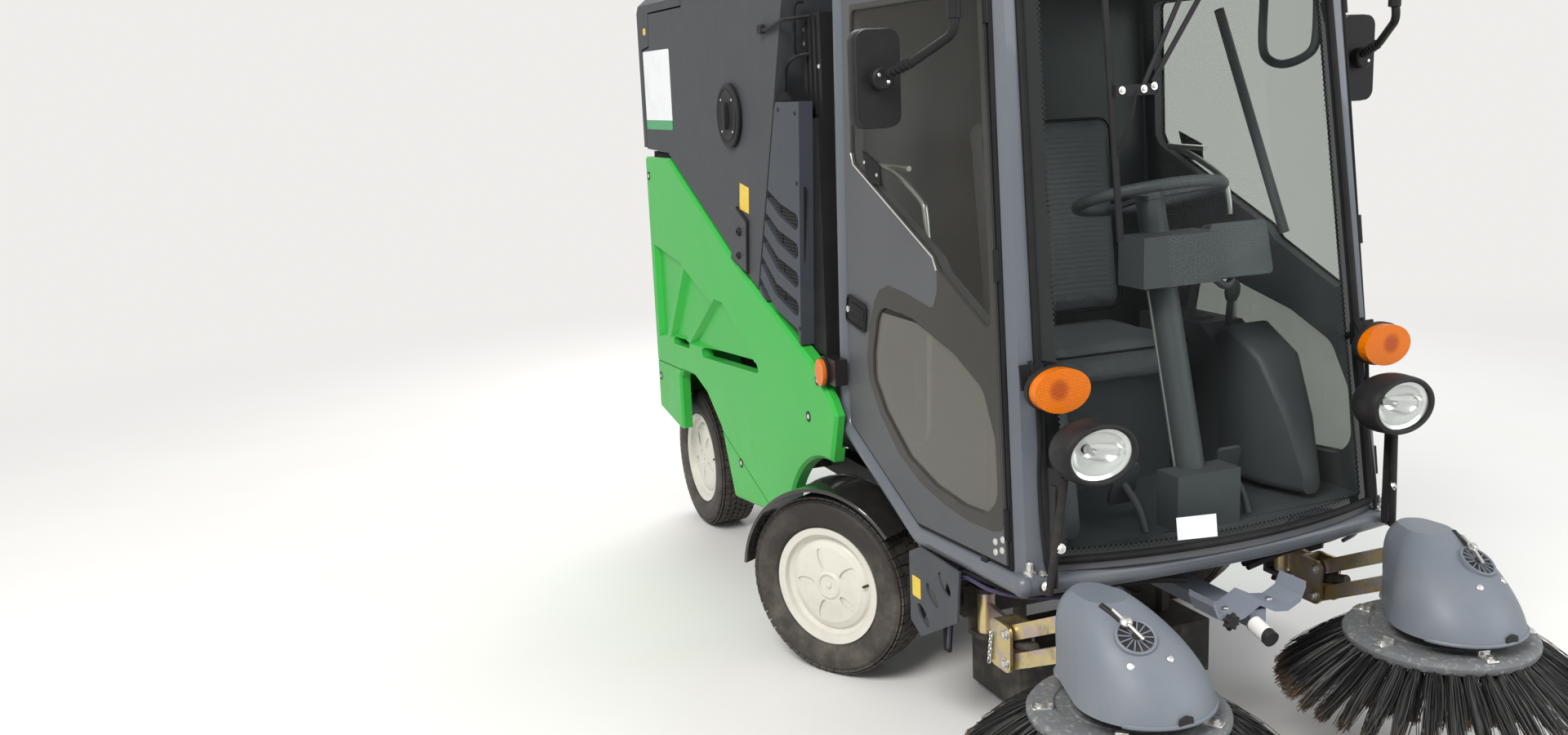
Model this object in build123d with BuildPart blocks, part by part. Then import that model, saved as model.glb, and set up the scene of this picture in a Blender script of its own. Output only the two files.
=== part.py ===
from build123d import *
import os
from math import cos, hypot, radians, sin, tan

os.makedirs("parts", exist_ok=True)

# Driving dimensions, in millimetres and degrees. X points forward, Y to the left, Z up, ground at Z = 0.
# X = 0 is half way along the machine. Every length named below counts forward from the rear axle.
REAR_AXLE_X = -1392.5
REAR_END = -250
ROOF_Z = 1990
BODY_HALF = 575
PANEL_THICK = 40

# Wheels: 155/70 R12 tyres, the front pair steered to the left as it stands.
WHEEL_R = 261
TYRE_HALF = 77.5
FRONT_AXLE = 1449
KINGPIN_Y = 527
KINGPIN_TO_WHEEL = 46
REAR_WHEEL_Y = 425
STEER_REST = 30.4

# Cab: side hoops of round tube that lean inwards, with the door between them.
TUBE_R = 25
CAB_SIDE_Y = 520
CAB_SILL_Z = 540
CAB_LEAN = 1.7
CAB_TOP_Z = 1892
SCREEN_BACK = 173

# Brush gear, right side: swing pin, parallel links and brush spindle.
SWING_PIN = (2112, -456)
LINK_Y = -460
LINK_HALF = 20
LINK_LENGTH = 270
LINK_RISE = 25.6
LINK_GAP = 73
ROOT_PIN = (2262, 372)
BRUSH_CENTRE = (2656, -433)
DISC_R = 211
TUFT_COUNT = 36


def at(x, y, z):
    """A point whose x counts forward from the rear axle."""
    return (REAR_AXLE_X + x, y, z)


def plan(z):
    """Level plane at height z, x from the rear axle and y to the left."""
    return Plane(origin=at(0, 0, z))


def cross(x):
    """Upright plane across the machine, seen from behind, with y to the left and z up."""
    return Plane(origin=at(x, 0, 0), x_dir=(0, 1, 0), z_dir=(1, 0, 0))


def side(y):
    """Upright plane along the machine at distance y to the right, facing outwards."""
    return Plane(origin=at(0, -y, 0), x_dir=(1, 0, 0), z_dir=(0, -1, 0))


def block(x, y, z, mode=Mode.ADD):
    """A box between the (low, high) limits on each axis."""
    middle = [(low + high) / 2 for low, high in (x, y, z)]
    with Locations(at(*middle)):
        Box(x[1] - x[0], y[1] - y[0], z[1] - z[0], mode=mode)


def rod(start, end, radius, mode=Mode.ADD):
    """A round bar between two points."""
    first, last = Vector(*at(*start)), Vector(*at(*end))
    with Locations(Plane(origin=first, z_dir=last - first).location):
        Cylinder(radius, (last - first).length, align=(Align.CENTER, Align.CENTER, Align.MIN), mode=mode)


def save(piece, label):
    """Label a finished piece and write its STEP file."""
    piece.part.label = label
    export_step(piece.part, f"parts/{label}.step")


def save_pair(right, stem):
    """Write a right-hand piece and its mirror image on the left."""
    save(right, f"{stem}_right")
    with BuildPart() as left:
        mirror(right.part, about=Plane.XZ)
    save(left, f"{stem}_left")


# Chassis: two box rails, cross members, the rear posts that carry the hopper pivot and the front beam.
RAIL_Y = 230
RAIL_HALF = 25
RAIL_Z = (350, 430)
RAIL_INNER, RAIL_OUTER = RAIL_Y - RAIL_HALF, RAIL_Y + RAIL_HALF
PANEL_INNER = BODY_HALF - PANEL_THICK
HOPPER_PIVOT = (-200, 1412)
TOW_EYE_R = 15
# Posts on both rails: rear face, front face, top
POSTS = ((-150, -90, 1340), (575, 625, 1130), (1225, 1275, 890), (1530, 1580, 739), (2000, 2060, 566))
with BuildPart() as chassis_frame:
    for y in (-RAIL_Y, RAIL_Y):
        block((-150, 2080), (y - RAIL_HALF, y + RAIL_HALF), RAIL_Z)
        for rear, front, top in POSTS:
            block((rear, front), (y - RAIL_HALF, y + RAIL_HALF), (RAIL_Z[1], top))
        block((580, 620), (y - RAIL_HALF, y + RAIL_HALF), (1130, 1163))
    for x in (-120, 400, 850):
        block((x - 30, x + 30), (-RAIL_Y, RAIL_Y), (370, RAIL_Z[1]))
    block((2026, 2080), (-500, 500), RAIL_Z)
    block((-150, -90), (-PANEL_INNER, PANEL_INNER), (1340, 1400))
    block((575, 625), (-PANEL_INNER, PANEL_INNER), (1080, 1130))
    block((1225, 1275), (-PANEL_INNER, PANEL_INNER), (820, 860))
    block((680, 720), (-PANEL_INNER, PANEL_INNER), (370, 410))
    # hopper pivot ears behind the top rear beam
    for y in (-213, 197):
        with BuildSketch(side(-y)):
            with Locations(HOPPER_PIVOT):
                Circle(20)
            with Locations((-170, 1385)):
                Rectangle(60, 30)
            make_hull()
        extrude(amount=-16)
    # tow eye under the rear bumper
    with BuildSketch(plan(372)):
        with Locations((-200, 0)):
            Rectangle(100, 70)
        with Locations((-215, 0)):
            Circle(TOW_EYE_R, mode=Mode.SUBTRACT)
    extrude(amount=20)
    # swing pin brackets for the brush arms, above and below the arm's boss
    for y in (SWING_PIN[1], -SWING_PIN[1]):
        for z in (305, 423):
            rod((SWING_PIN[0], y, z), (SWING_PIN[0], y, z + 12), 28)
            block((2080, SWING_PIN[0]), (y - 28, y + 28), (z, z + 12))
        block((2070, 2082), (y - 28, y + 28), (305, 435))
save(chassis_frame, "chassis_frame")

# Axles: square beams on the rails. Kingpin bosses at the front, brake drums at the rear.
BEAM_HALF = 35
with BuildPart() as front_axle:
    block((FRONT_AXLE - 30, FRONT_AXLE + 30), (-505, 505), (WHEEL_R - BEAM_HALF, WHEEL_R + BEAM_HALF))
    for y in (-KINGPIN_Y, KINGPIN_Y):
        rod((FRONT_AXLE, y, WHEEL_R - 60), (FRONT_AXLE, y, WHEEL_R + 60), 26)
    for y in (-RAIL_Y, RAIL_Y):
        block((FRONT_AXLE - 50, FRONT_AXLE + 50), (y - 30, y + 30), (WHEEL_R + BEAM_HALF, RAIL_Z[0]))
save(front_axle, "front_axle")

with BuildPart() as rear_axle:
    block((-BEAM_HALF, BEAM_HALF), (-345, 345), (WHEEL_R - BEAM_HALF, WHEEL_R + BEAM_HALF))
    for y in (-1, 1):
        rod((0, y * 340, WHEEL_R), (0, y * (REAR_WHEEL_Y - 2), WHEEL_R), 100)
    for y in (-RAIL_Y, RAIL_Y):
        block((-50, 50), (y - 30, y + 30), (WHEEL_R + BEAM_HALF, RAIL_Z[0]))
save(rear_axle, "rear_axle")

with BuildPart() as engine_block:
    block((350, 900), (-200, 200), (RAIL_Z[1], 810))
save(engine_block, "engine_block")

# Wheels. Profiles are (radius, distance outwards from the wheel's middle plane).
RIM_PROFILE = (
    (0, 4), (45, 4), (45, 40), (112, 40), (124, 30), (133, 14), (133, -24), (147, -38), (147, -60),
    (164, -64), (170, -64), (170, -58), (153, -54), (153, -40), (140, -28), (140, 20), (153, 34),
    (153, 54), (170, 58), (170, 64), (150, 60), (146, 46), (134, 38), (126, 46), (110, 52), (50, 55), (0, 52),
)
TYRE_PROFILE = (
    (153.3, -53), (171, -57.6), (178, -69), (205, -TYRE_HALF), (240, -74), (256, -61), (WHEEL_R, -45),
    (WHEEL_R, 45), (256, 61), (240, 74), (205, TYRE_HALF), (178, 69), (171, 57.6), (153.3, 53),
)
PETAL_COUNT = 5


def wheel_plane(centre, outward):
    """Half plane through a wheel's axle: x is the radius, y runs outwards along the axle."""
    up = Vector(0, 0, 1)
    return Plane(origin=centre, x_dir=up, z_dir=up.cross(outward))


def steered(y_sign):
    """Wheel centre and outward direction of a front wheel at its resting steering angle."""
    turn = radians(STEER_REST)
    outward = Vector(-sin(turn) * y_sign, cos(turn) * y_sign, 0)
    centre = Vector(*at(FRONT_AXLE, y_sign * KINGPIN_Y, WHEEL_R)) + outward * KINGPIN_TO_WHEEL
    return centre, outward


WHEELS = {}
for name, y_sign in (("right", -1), ("left", 1)):
    WHEELS[f"front_{name}"] = steered(y_sign)
    WHEELS[f"rear_{name}"] = (Vector(*at(0, y_sign * REAR_WHEEL_Y, WHEEL_R)), Vector(0, y_sign, 0))

for name, (centre, outward) in WHEELS.items():
    half_plane = wheel_plane(centre, outward)
    axle = Axis(centre, outward)
    with BuildPart() as rim:
        with BuildSketch(half_plane):
            with BuildLine():
                Polyline(*RIM_PROFILE, close=True)
            make_face()
        revolve(axis=axle)
        with BuildSketch(Plane(origin=centre + outward * 48, z_dir=outward)):
            with PolarLocations(78, PETAL_COUNT):
                Ellipse(30, 11)
        extrude(amount=20, mode=Mode.SUBTRACT)
    save(rim, f"rim_{name}")
    with BuildPart() as tyre:
        with BuildSketch(half_plane):
            with BuildLine():
                Polyline(*TYRE_PROFILE, close=True)
            make_face()
        revolve(axis=axle)
    save(tyre, f"tyre_{name}")

# Knuckles: a fork round each kingpin boss, the wheel's flange, the steering arm and the fender's stay.
ARM_BACK = 80
FENDER_IN, FENDER_OUT = 278, 286
FENDER_INSIDE, FENDER_WIDTH = -88, 168
FENDER_SPAN = 135
for name, y_sign in (("right", -1), ("left", 1)):
    centre, outward = WHEELS[f"front_{name}"]
    forward = outward.cross(Vector(0, 0, 1)) * y_sign
    kingpin = Plane(origin=at(FRONT_AXLE, y_sign * KINGPIN_Y, WHEEL_R), x_dir=forward, z_dir=(0, 0, 1))
    with BuildPart() as knuckle:
        with BuildSketch(kingpin.offset(62), kingpin.offset(-80)):
            Circle(28)
            with Locations((0, y_sign * 22)):
                Rectangle(56, 44)
        extrude(amount=18)
        with BuildSketch(kingpin.offset(-80)):
            with Locations((0, y_sign * 38)):
                Rectangle(64, 12)
        extrude(amount=160)
        with BuildSketch(Plane(origin=centre - outward * 4, z_dir=outward)):
            Circle(48)
        extrude(amount=6.5)
        with BuildSketch(kingpin.offset(-79)):
            with Locations((-ARM_BACK / 2, 0)):
                Rectangle(ARM_BACK, 24)
            with Locations((-ARM_BACK, 0)):
                Circle(14)
        extrude(amount=14)
        with BuildSketch(kingpin.offset(80)):
            with Locations((0, -y_sign * 11)):
                Rectangle(30, 78)
        extrude(amount=8)
        with BuildSketch(kingpin.offset(80)):
            with Locations((0, -y_sign * 46)):
                Rectangle(30, 8)
        extrude(amount=FENDER_OUT - 80)
    save(knuckle, f"knuckle_{name}")
    # cycle fender, an arched strip over the tyre that turns with it
    arch_plane = Plane(origin=centre + outward * FENDER_INSIDE, x_dir=forward * -y_sign, z_dir=outward)
    arch_start = 40 if y_sign < 0 else 5
    with BuildPart() as fender:
        with BuildSketch(arch_plane):
            with BuildLine():
                outer = CenterArc((0, 0), FENDER_OUT, arch_start, FENDER_SPAN)
                inner = CenterArc((0, 0), FENDER_IN, arch_start, FENDER_SPAN)
                Line(outer @ 0, inner @ 0)
                Line(outer @ 1, inner @ 1)
            make_face()
        extrude(amount=FENDER_WIDTH)
    save(fender, f"fender_{name}")

# Tie rod between the two steering arms. It keeps its direction as the wheels turn.
turn = radians(STEER_REST)
ROD_X = FRONT_AXLE - ARM_BACK * cos(turn)
ROD_SHIFT = -ARM_BACK * sin(turn)
ROD_Z = 209
with BuildPart() as tie_rod:
    rod((ROD_X, ROD_SHIFT - KINGPIN_Y, ROD_Z), (ROD_X, ROD_SHIFT + KINGPIN_Y, ROD_Z), 9)
    for y in (ROD_SHIFT - KINGPIN_Y, ROD_SHIFT + KINGPIN_Y):
        rod((ROD_X, y, ROD_Z - 8), (ROD_X, y, ROD_Z + 8), 14)
save(tie_rod, "tie_rod")

# Green side panel: one moulding from the tail to the front wheel, with a faceted recess and two slots.
FRONT_ARCH_R = 345
PANEL_TOP = ((REAR_END + 25, 1410), (63, 1412), (778, 1080), (1332, 880), (1468, 790), (1506, 748))
PANEL_FOOT = (
    (1007, 325), (620, 280), (515, 500), (375, 596), (240, 636), (90, 630), (58, 596), (58, 400),
    (30, 392), (REAR_END + 25, 430),
)
# Pockets pressed into the panel, each with its floor inside sloping sides
PANEL_POCKETS = (
    ((-178, 1078), (158, 1038), (-72, 738), (-178, 720)),
    ((182, 1022), (474, 930), (150, 745), (-30, 740)),
    ((506, 952), (582, 950), (905, 780), (905, 762), (200, 748)),
)
POCKET_DEPTH, POCKET_TAPER = 20, 38
with BuildPart() as side_panel_right:
    with BuildSketch(side(PANEL_INNER)):
        with BuildLine():
            arch = CenterArc((FRONT_AXLE, WHEEL_R), FRONT_ARCH_R, 88, 76)
            nose = Polyline(*PANEL_TOP, (1478, 655), arch @ 0)
            Polyline(arch @ 1, *PANEL_FOOT, nose @ 0)
        make_face()
    extrude(amount=PANEL_THICK)
    chamfer(side_panel_right.faces().sort_by(Axis.Y)[0].edges(), 9)
    # three tapered pockets with sloping facets and ribs between them, then the two hand slots at their foot
    for pocket in PANEL_POCKETS:
        with BuildSketch(side(BODY_HALF)):
            with BuildLine():
                Polyline(*pocket, close=True)
            make_face()
        extrude(amount=-POCKET_DEPTH, taper=POCKET_TAPER, mode=Mode.SUBTRACT)
    with BuildSketch(side(BODY_HALF)):
        with Locations(Location((105, 738), 3)):
            SlotOverall(190, 26)
        with Locations(Location((620, 760), 4)):
            SlotOverall(560, 34)
    extrude(amount=-PANEL_THICK, mode=Mode.SUBTRACT)
    # relief behind the nose for the cab's hoop
    block((1425, 1510), (-546, -530), (650, 900), mode=Mode.SUBTRACT)
    # shallow seams where the rear flap and the lower skirt join the panel
    with BuildSketch(side(BODY_HALF)):
        with BuildLine():
            Polyline((REAR_END + 25, 622), (90, 634), (90, 629), (REAR_END + 25, 617), close=True)
        make_face()
        with BuildLine():
            Polyline((515, 500), (1000, 330), (996, 325), (512, 495), close=True)
        make_face()
    extrude(amount=-5, mode=Mode.SUBTRACT)
save_pair(side_panel_right, "side_panel")

# Rear panel between the side panels, with air slots, and the lamp clusters on it.
with BuildPart() as rear_panel:
    block((REAR_END + 25, REAR_END + 55), (-PANEL_INNER, PANEL_INNER), (470, 1360))
    with BuildSketch(cross(REAR_END)):
        with GridLocations(0, 62, 1, 7):
            with Locations((0, 1100)):
                SlotOverall(620, 30)
    extrude(amount=80, mode=Mode.SUBTRACT)
    block((REAR_END + 5, REAR_END + 40), (-PANEL_INNER + 20, PANEL_INNER - 20), (440, 520))
    block((REAR_END + 17, REAR_END + 30), (-160, 160), (620, 740))
    with BuildSketch(cross(REAR_END)):
        with GridLocations(240, 0, 2, 1):
            with Locations((0, 680)):
                Circle(3.5)
    extrude(amount=80, mode=Mode.SUBTRACT)
    # feet back to the chassis posts
    for y in (-RAIL_Y, RAIL_Y):
        block((REAR_END + 50, -150), (y - RAIL_HALF, y + RAIL_HALF), (440, 500))
save(rear_panel, "rear_panel")

with BuildPart() as rear_lamps:
    with BuildSketch(cross(REAR_END + 3)):
        with GridLocations(880, 0, 2, 1):
            with Locations((0, 900)):
                RectangleRounded(100, 230, 20)
    extrude(amount=22)
save(rear_lamps, "rear_lamps")

# Louvre panels in front of the hopper: five bent slots each, from (x, z, radius) of their three circles.
LOUVRE_OUTLINE = ((942, 1028), (1134, 1585), (1148, 1607), (1322, 1607), (1265, 912))
SLOT_COUNT = 5
with BuildPart() as louvre_right:
    with BuildSketch(side(530)) as louvre_sketch:
        with BuildLine():
            Polyline(*LOUVRE_OUTLINE, close=True)
        make_face()
        fillet(louvre_sketch.vertices().sort_by(Axis.Z)[-2:], 20)
    extrude(amount=42)
    for i in range(SLOT_COUNT):
        high = (1032 - 25 * i, 1345 - 66 * i, 12)
        bend = (1145 - 20 * i, 1296 - 80 * i, 19)
        low = (1258 - 7 * i, 1270 - 84 * i, 24)
        for first, last in ((high, bend), (bend, low)):
            with BuildSketch(side(525)):
                for x, z, radius in (first, last):
                    with Locations((x, z)):
                        Circle(radius)
                make_hull()
            extrude(amount=60, mode=Mode.SUBTRACT)
with BuildPart() as louvre_panels:
    add(louvre_right.part)
    mirror(louvre_right.part, about=Plane.XZ)
save(louvre_panels, "louvre_panels")

# Black cooling housing between hopper and cab, with a tall column on each side.
COLUMN_HALF = 515
with BuildPart() as cooling_housing:
    block((1190, 1356), (-530, 530), (890, 1560))
    block((1240, 1340), (-440, 440), (1560, 1800))
    for y_limits in ((-COLUMN_HALF, -440), (440, COLUMN_HALF)):
        block((1232, 1356), y_limits, (1560, 1845))
save(cooling_housing, "cooling_housing")

# Hopper: a hollow wedge that tips rearwards. Its hood and rear wall are one door, hinged on the roof.
HOPPER_HALF = 570
HOPPER_WALL = 18
HOPPER_OUTLINE = (
    (-200, 1440), (63, 1432), (778, 1097), (930, 1040), (1125, 1600), (1235, 1930), (1215, 1972),
    (1175, 1988), (306, 1988), (306, 1929), (-90, 1929), (-104, 1810), (-200, 1800),
)
DOOR_OUTLINE = (
    (-240, 1445), (-240, 1940), (-195, 1988), (300, 1988), (300, 1935), (-96, 1935), (-110, 1816),
    (-206, 1806), (-206, 1445),
)
with BuildPart() as hopper_shell:
    with BuildSketch(side(0)):
        with BuildLine():
            Polyline(*HOPPER_OUTLINE, close=True)
        make_face()
    extrude(amount=HOPPER_HALF, both=True)
    chamfer(hopper_shell.edges().filter_by(Axis.X).group_by(Axis.Z)[-1], 24)
    with BuildSketch(side(0)):
        with BuildLine():
            Polyline(*HOPPER_OUTLINE, close=True)
        make_face()
        offset(amount=-HOPPER_WALL)
        with Locations((-180, 1622)):
            Rectangle(60, 330)
    extrude(amount=HOPPER_HALF - HOPPER_WALL, both=True, mode=Mode.SUBTRACT)
    # pivot lugs under the rear edge
    for y in (-236, 220):
        with BuildSketch(side(-y)):
            with Locations(HOPPER_PIVOT):
                Circle(20)
            with Locations((-170, 1441)):
                Rectangle(50, 4)
            make_hull()
        extrude(amount=-16)
    # round caps with bar handles, and the latch plates low on the flanks
    for y_sign in (-1, 1):
        rod((745, y_sign * 560, 1565), (745, y_sign * 577, 1565), 84)
        rod((745, y_sign * 570, 1565), (745, y_sign * 585, 1565), 52)
        y_limits = sorted((y_sign * 560, y_sign * 578))
        block((800, 850), y_limits, (1085, 1230))
save(hopper_shell, "hopper_shell")

with BuildPart() as hopper_door:
    with BuildSketch(side(0)):
        with BuildLine():
            Polyline(*DOOR_OUTLINE, close=True)
        make_face()
    extrude(amount=HOPPER_HALF, both=True)
    chamfer(hopper_door.edges().filter_by(Axis.X).group_by(Axis.Z)[-1], 24)
save(hopper_door, "hopper_door")

# Cab frame: a hoop of tube on each side, the bowed bumper that joins them, and the two windscreen posts.
HOOP = ((1429, 1362), (1469, 171), (1907, -25), (2392, 0))
BUMPER_BOW = 43
SCREEN_HALF = 459
SCREEN_EDGE = 2401
SCREEN_IN = 40
# Corner posts, half outlines as (x, y) at the bumper and at the roof
POST_FOOT = ((2401, 461), (2384, 508), (2358, 524), (2354, 500), (2366, 461))
POST_HEAD = ((2228, 421), (2228, 460), (2212, 480), (2206, 458), (2193, 421))


def cab_side(out=0):
    """Plane of the cab's leaning right flank: x from the rear axle, y up the flank from the sill."""
    lean = radians(CAB_LEAN)
    normal = Vector(0, -cos(lean), sin(lean))
    return Plane(origin=Vector(*at(0, -CAB_SIDE_Y, CAB_SILL_Z)) + normal * out, x_dir=(1, 0, 0), z_dir=normal)


with BuildPart() as cab_frame:
    with BuildLine(cab_side()) as hoop_line:
        FilletPolyline(*HOOP, radius=60)
    with BuildSketch(Plane(origin=hoop_line.line @ 0, z_dir=hoop_line.line % 0)):
        Circle(TUBE_R)
    sweep(path=hoop_line.line)
    mirror(about=Plane.XZ)
    corner = HOOP[-1][0]
    with BuildLine(plan(CAB_SILL_Z)) as bumper_line:
        ThreePointArc((corner, -CAB_SIDE_Y), (corner + BUMPER_BOW, 0), (corner, CAB_SIDE_Y))
    with BuildSketch(Plane(origin=bumper_line.line @ 0, z_dir=bumper_line.line % 0)):
        Circle(TUBE_R)
    sweep(path=bumper_line.line)
    for y in (-CAB_SIDE_Y, CAB_SIDE_Y):
        with Locations(at(corner, y, CAB_SILL_Z)):
            Sphere(TUBE_R + 2)
    for y_sign in (-1, 1):
        for height, outline in ((CAB_SILL_Z + 18, POST_FOOT), (CAB_TOP_Z, POST_HEAD)):
            with BuildSketch(plan(height)):
                with BuildLine():
                    Polyline(*[(x, y_sign * y) for x, y in outline], close=True)
                make_face()
        loft()
    split(bisect_by=plan(CAB_TOP_Z), keep=Keep.BOTTOM)
save(cab_frame, "cab_frame")

# Cab tub: stepped floor and rear wall in one pressing, with the curved sill that seats the windscreen.
TUB_OUTLINE = (
    (1432, CAB_TOP_Z), (1462, 739), (1590, 739), (1960, 566), (2345, 566), (2345, 585), (1966, 585),
    (1600, 758), (1490, 758), (1457, CAB_TOP_Z),
)
TUB_HALF = 485
SCREEN_BOW = 75
SCREEN_Z = 585
with BuildPart() as cab_tub:
    with BuildSketch(side(0)):
        with BuildLine():
            Polyline(*TUB_OUTLINE, close=True)
        make_face()
    extrude(amount=TUB_HALF)
    split(bisect_by=cab_side(-TUBE_R - 3), keep=Keep.BOTTOM)
    mirror(about=Plane.XZ)
    for y_limits in ((-490, -TUB_HALF), (TUB_HALF, 490)):
        block((1970, 2340), y_limits, (566, SCREEN_Z))
    with BuildSketch(plan(566)):
        with BuildLine():
            edge = ThreePointArc(
                (SCREEN_EDGE, -SCREEN_HALF), (SCREEN_EDGE + SCREEN_BOW + 4, 0), (SCREEN_EDGE, SCREEN_HALF)
            )
            Polyline(edge @ 1, (2355, SCREEN_HALF), (2355, -SCREEN_HALF), edge @ 0)
        make_face()
    extrude(amount=SCREEN_Z - 566)
save(cab_tub, "cab_tub")

with BuildPart() as cab_roof:
    with BuildSketch(plan(CAB_TOP_Z)):
        with BuildLine():
            brow = ThreePointArc((2262, -490), (2338, 0), (2262, 490))
            Polyline(brow @ 1, (1385, 512), (1385, -512), brow @ 0)
        make_face()
    extrude(amount=ROOF_Z - CAB_TOP_Z)
    chamfer(cab_roof.faces().sort_by(Axis.Z)[-1].edges(), 30)
save(cab_roof, "cab_roof")


def screen_sketch(plane, back, half, bow, thick):
    """Curved strip of glass seen from above, for one end of the windscreen."""
    with BuildSketch(plane) as strip:
        with BuildLine():
            front = ThreePointArc((back, -half), (back + bow, 0), (back, half))
            rear = ThreePointArc((back - thick, -half), (back + bow - thick, 0), (back - thick, half))
            Line(front @ 0, rear @ 0)
            Line(front @ 1, rear @ 1)
        make_face()
    return strip.sketch


with BuildPart() as windscreen:
    foot = screen_sketch(plan(SCREEN_Z), SCREEN_EDGE, SCREEN_HALF, SCREEN_BOW, 7)
    head = screen_sketch(plan(CAB_TOP_Z), SCREEN_EDGE - SCREEN_BACK, SCREEN_HALF - SCREEN_IN, SCREEN_BOW, 7)
    loft(sections=[foot.face(), head.face()], ruled=True)
save(windscreen, "windscreen")

# Doors, hinged on the windscreen posts: a flat leaf with two windows cut through it and two panes.
DOOR_LEAF = ((1464, 1346), (1504, 190), (1909, 10), (2350, 33), (2206, 1346))
UPPER_WINDOW = ((1517, 1300), (1519, 926), (1538, 897), (1984, 694), (2020, 660), (2262, 546), (2179, 1300))
LOWER_WINDOW = (
    (1672, 497), (1700, 543), (1871, 532), (2082, 481), (2225, 418), (2285, 310), (2300, 170), (2250, 128),
    (2145, 120), (2002, 132), (1859, 171), (1721, 262), (1652, 340), (1650, 410),
)
UPPER_CORNER_R, LOWER_CORNER_R = 20, 60
DOOR_IN, DOOR_OUT = -20, 14
# Hinge line along the leaf's front edge, and the stretches of it that carry barrels
HINGE_R = 8
HINGE_FOOT = cab_side(DOOR_OUT).from_local_coords(Vector(DOOR_LEAF[3][0], DOOR_LEAF[3][1], 0))
HINGE_HEAD = cab_side(DOOR_OUT).from_local_coords(Vector(DOOR_LEAF[4][0], DOOR_LEAF[4][1], 0))
HINGE_LINE = (HINGE_HEAD - HINGE_FOOT).normalized()
HINGE_SPANS = ((60, 130), (640, 710), (1200, 1270))
with BuildPart() as door_right:
    with BuildSketch(cab_side(DOOR_IN)) as leaf_sketch:
        with BuildLine():
            Polyline(*DOOR_LEAF, close=True)
        make_face()
    extrude(amount=DOOR_OUT - DOOR_IN)
    with BuildSketch(cab_side(DOOR_IN - 5)):
        for window, corner_r in ((UPPER_WINDOW, UPPER_CORNER_R), (LOWER_WINDOW, LOWER_CORNER_R)):
            with BuildLine():
                FilletPolyline(*window, radius=corner_r, close=True)
            make_face()
    extrude(amount=60, mode=Mode.SUBTRACT)
    # latch plate with its pull, near the rear edge
    with BuildSketch(cab_side(DOOR_OUT)):
        with Locations(Location((1556, 501), -9)):
            RectangleRounded(126, 76, 14)
    extrude(amount=5)
    # hinge barrels on the front edge
    for low, high in HINGE_SPANS:
        with BuildSketch(Plane(origin=HINGE_FOOT + HINGE_LINE * low, z_dir=HINGE_LINE)):
            Circle(HINGE_R)
        extrude(amount=high - low)
save_pair(door_right, "door")

with BuildPart() as door_glass_right:
    with BuildSketch(cab_side(2)):
        for window, corner_r in ((UPPER_WINDOW, UPPER_CORNER_R), (LOWER_WINDOW, LOWER_CORNER_R)):
            with BuildLine():
                FilletPolyline(*window, radius=corner_r, close=True)
            make_face()
    extrude(amount=6)
save_pair(door_glass_right, "door_glass")

# Mirror on a bent arm from the door's top front corner.
MIRROR_ARM = ((2180, -486, 1858), (2268, -600, 1858), (2275, -606, 1745), (2180, -651, 1693), (2073, -685, 1661))
with BuildPart() as mirror_right:
    with BuildLine() as arm_line:
        FilletPolyline(*[at(*point) for point in MIRROR_ARM], radius=30)
    with BuildSketch(Plane(origin=arm_line.line @ 0, z_dir=arm_line.line % 0)):
        Circle(10)
    sweep(path=arm_line.line)
    with BuildSketch(cross(2027)):
        with Locations((-687, 1658)):
            RectangleRounded(108, 216, 28)
    extrude(amount=46)
    rod((2071, -687, 1658), (2091, -687, 1658), 26)
    block((2162, 2198), (-520, -478), (1844, 1872))
    add(door_right.part, mode=Mode.SUBTRACT)
save_pair(mirror_right, "mirror")

# Cab interior: seat, side consoles, steering column and wheel.
FLOOR_SLOPE = (758 - 585) / (1966 - 1600)
WHEEL_TILT = 15
WHEEL_HUB = (2128, 0, 1352)
HUB_HALF = 13
COLUMN_TOP = (2128 + HUB_HALF * sin(radians(WHEEL_TILT)), 0, 1352 - HUB_HALF * cos(radians(WHEEL_TILT)))
with BuildPart() as seat_frame:
    with BuildSketch(side(0)):
        with BuildLine():
            Polyline(
                (1620, 758 - 20 * FLOOR_SLOPE), (1960, 758 - 360 * FLOOR_SLOPE), (1960, 880), (1620, 880), close=True
            )
        make_face()
    extrude(amount=200, both=True)
save(seat_frame, "seat_frame")

with BuildPart() as seat_cushions:
    block((1650, 2060), (-230, 230), (880, 975))
    with BuildSketch(side(0)):
        with BuildLine():
            Polyline((1645, 890), (1745, 985), (1672, 1540), (1572, 1530), (1600, 900), close=True)
        make_face()
    extrude(amount=225, both=True)
    block((1640, 1760), (-240, 240), (870, 983), mode=Mode.SUBTRACT)
    block((1650, 2060), (-230, 230), (880, 975))
save(seat_cushions, "seat_cushions")

with BuildPart() as control_console:
    rod((2128 + 752 * tan(radians(WHEEL_TILT)), 0, 600), COLUMN_TOP, 34)
    block((2290, 2370), (-90, 90), (SCREEN_Z, 720))
    block((2160, 2260), (-110, 110), (1150, 1270))
    for y_limits in ((-430, -290), (290, 430)):
        with BuildSketch(side(-y_limits[0])):
            with BuildLine():
                Polyline(
                    (1700, 711), (1966, SCREEN_Z), (2080, SCREEN_Z), (2080, 900), (1960, 985), (1700, 985), close=True
                )
            make_face()
        extrude(amount=y_limits[0] - y_limits[1])
save(control_console, "control_console")

with BuildPart() as steering_wheel:
    tilt = radians(WHEEL_TILT)
    wheel_axis = Vector(-sin(tilt), 0, cos(tilt))
    hub = Plane(origin=at(*WHEEL_HUB), x_dir=(0, 1, 0), z_dir=wheel_axis)
    with Locations(hub.location):
        Torus(172, 14)
        Cylinder(36, 2 * HUB_HALF)
    with BuildSketch(hub.offset(-5)):
        with PolarLocations(90, 3, start_angle=90):
            Rectangle(150, 26)
    extrude(amount=10)
save(steering_wheel, "steering_wheel")

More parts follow.
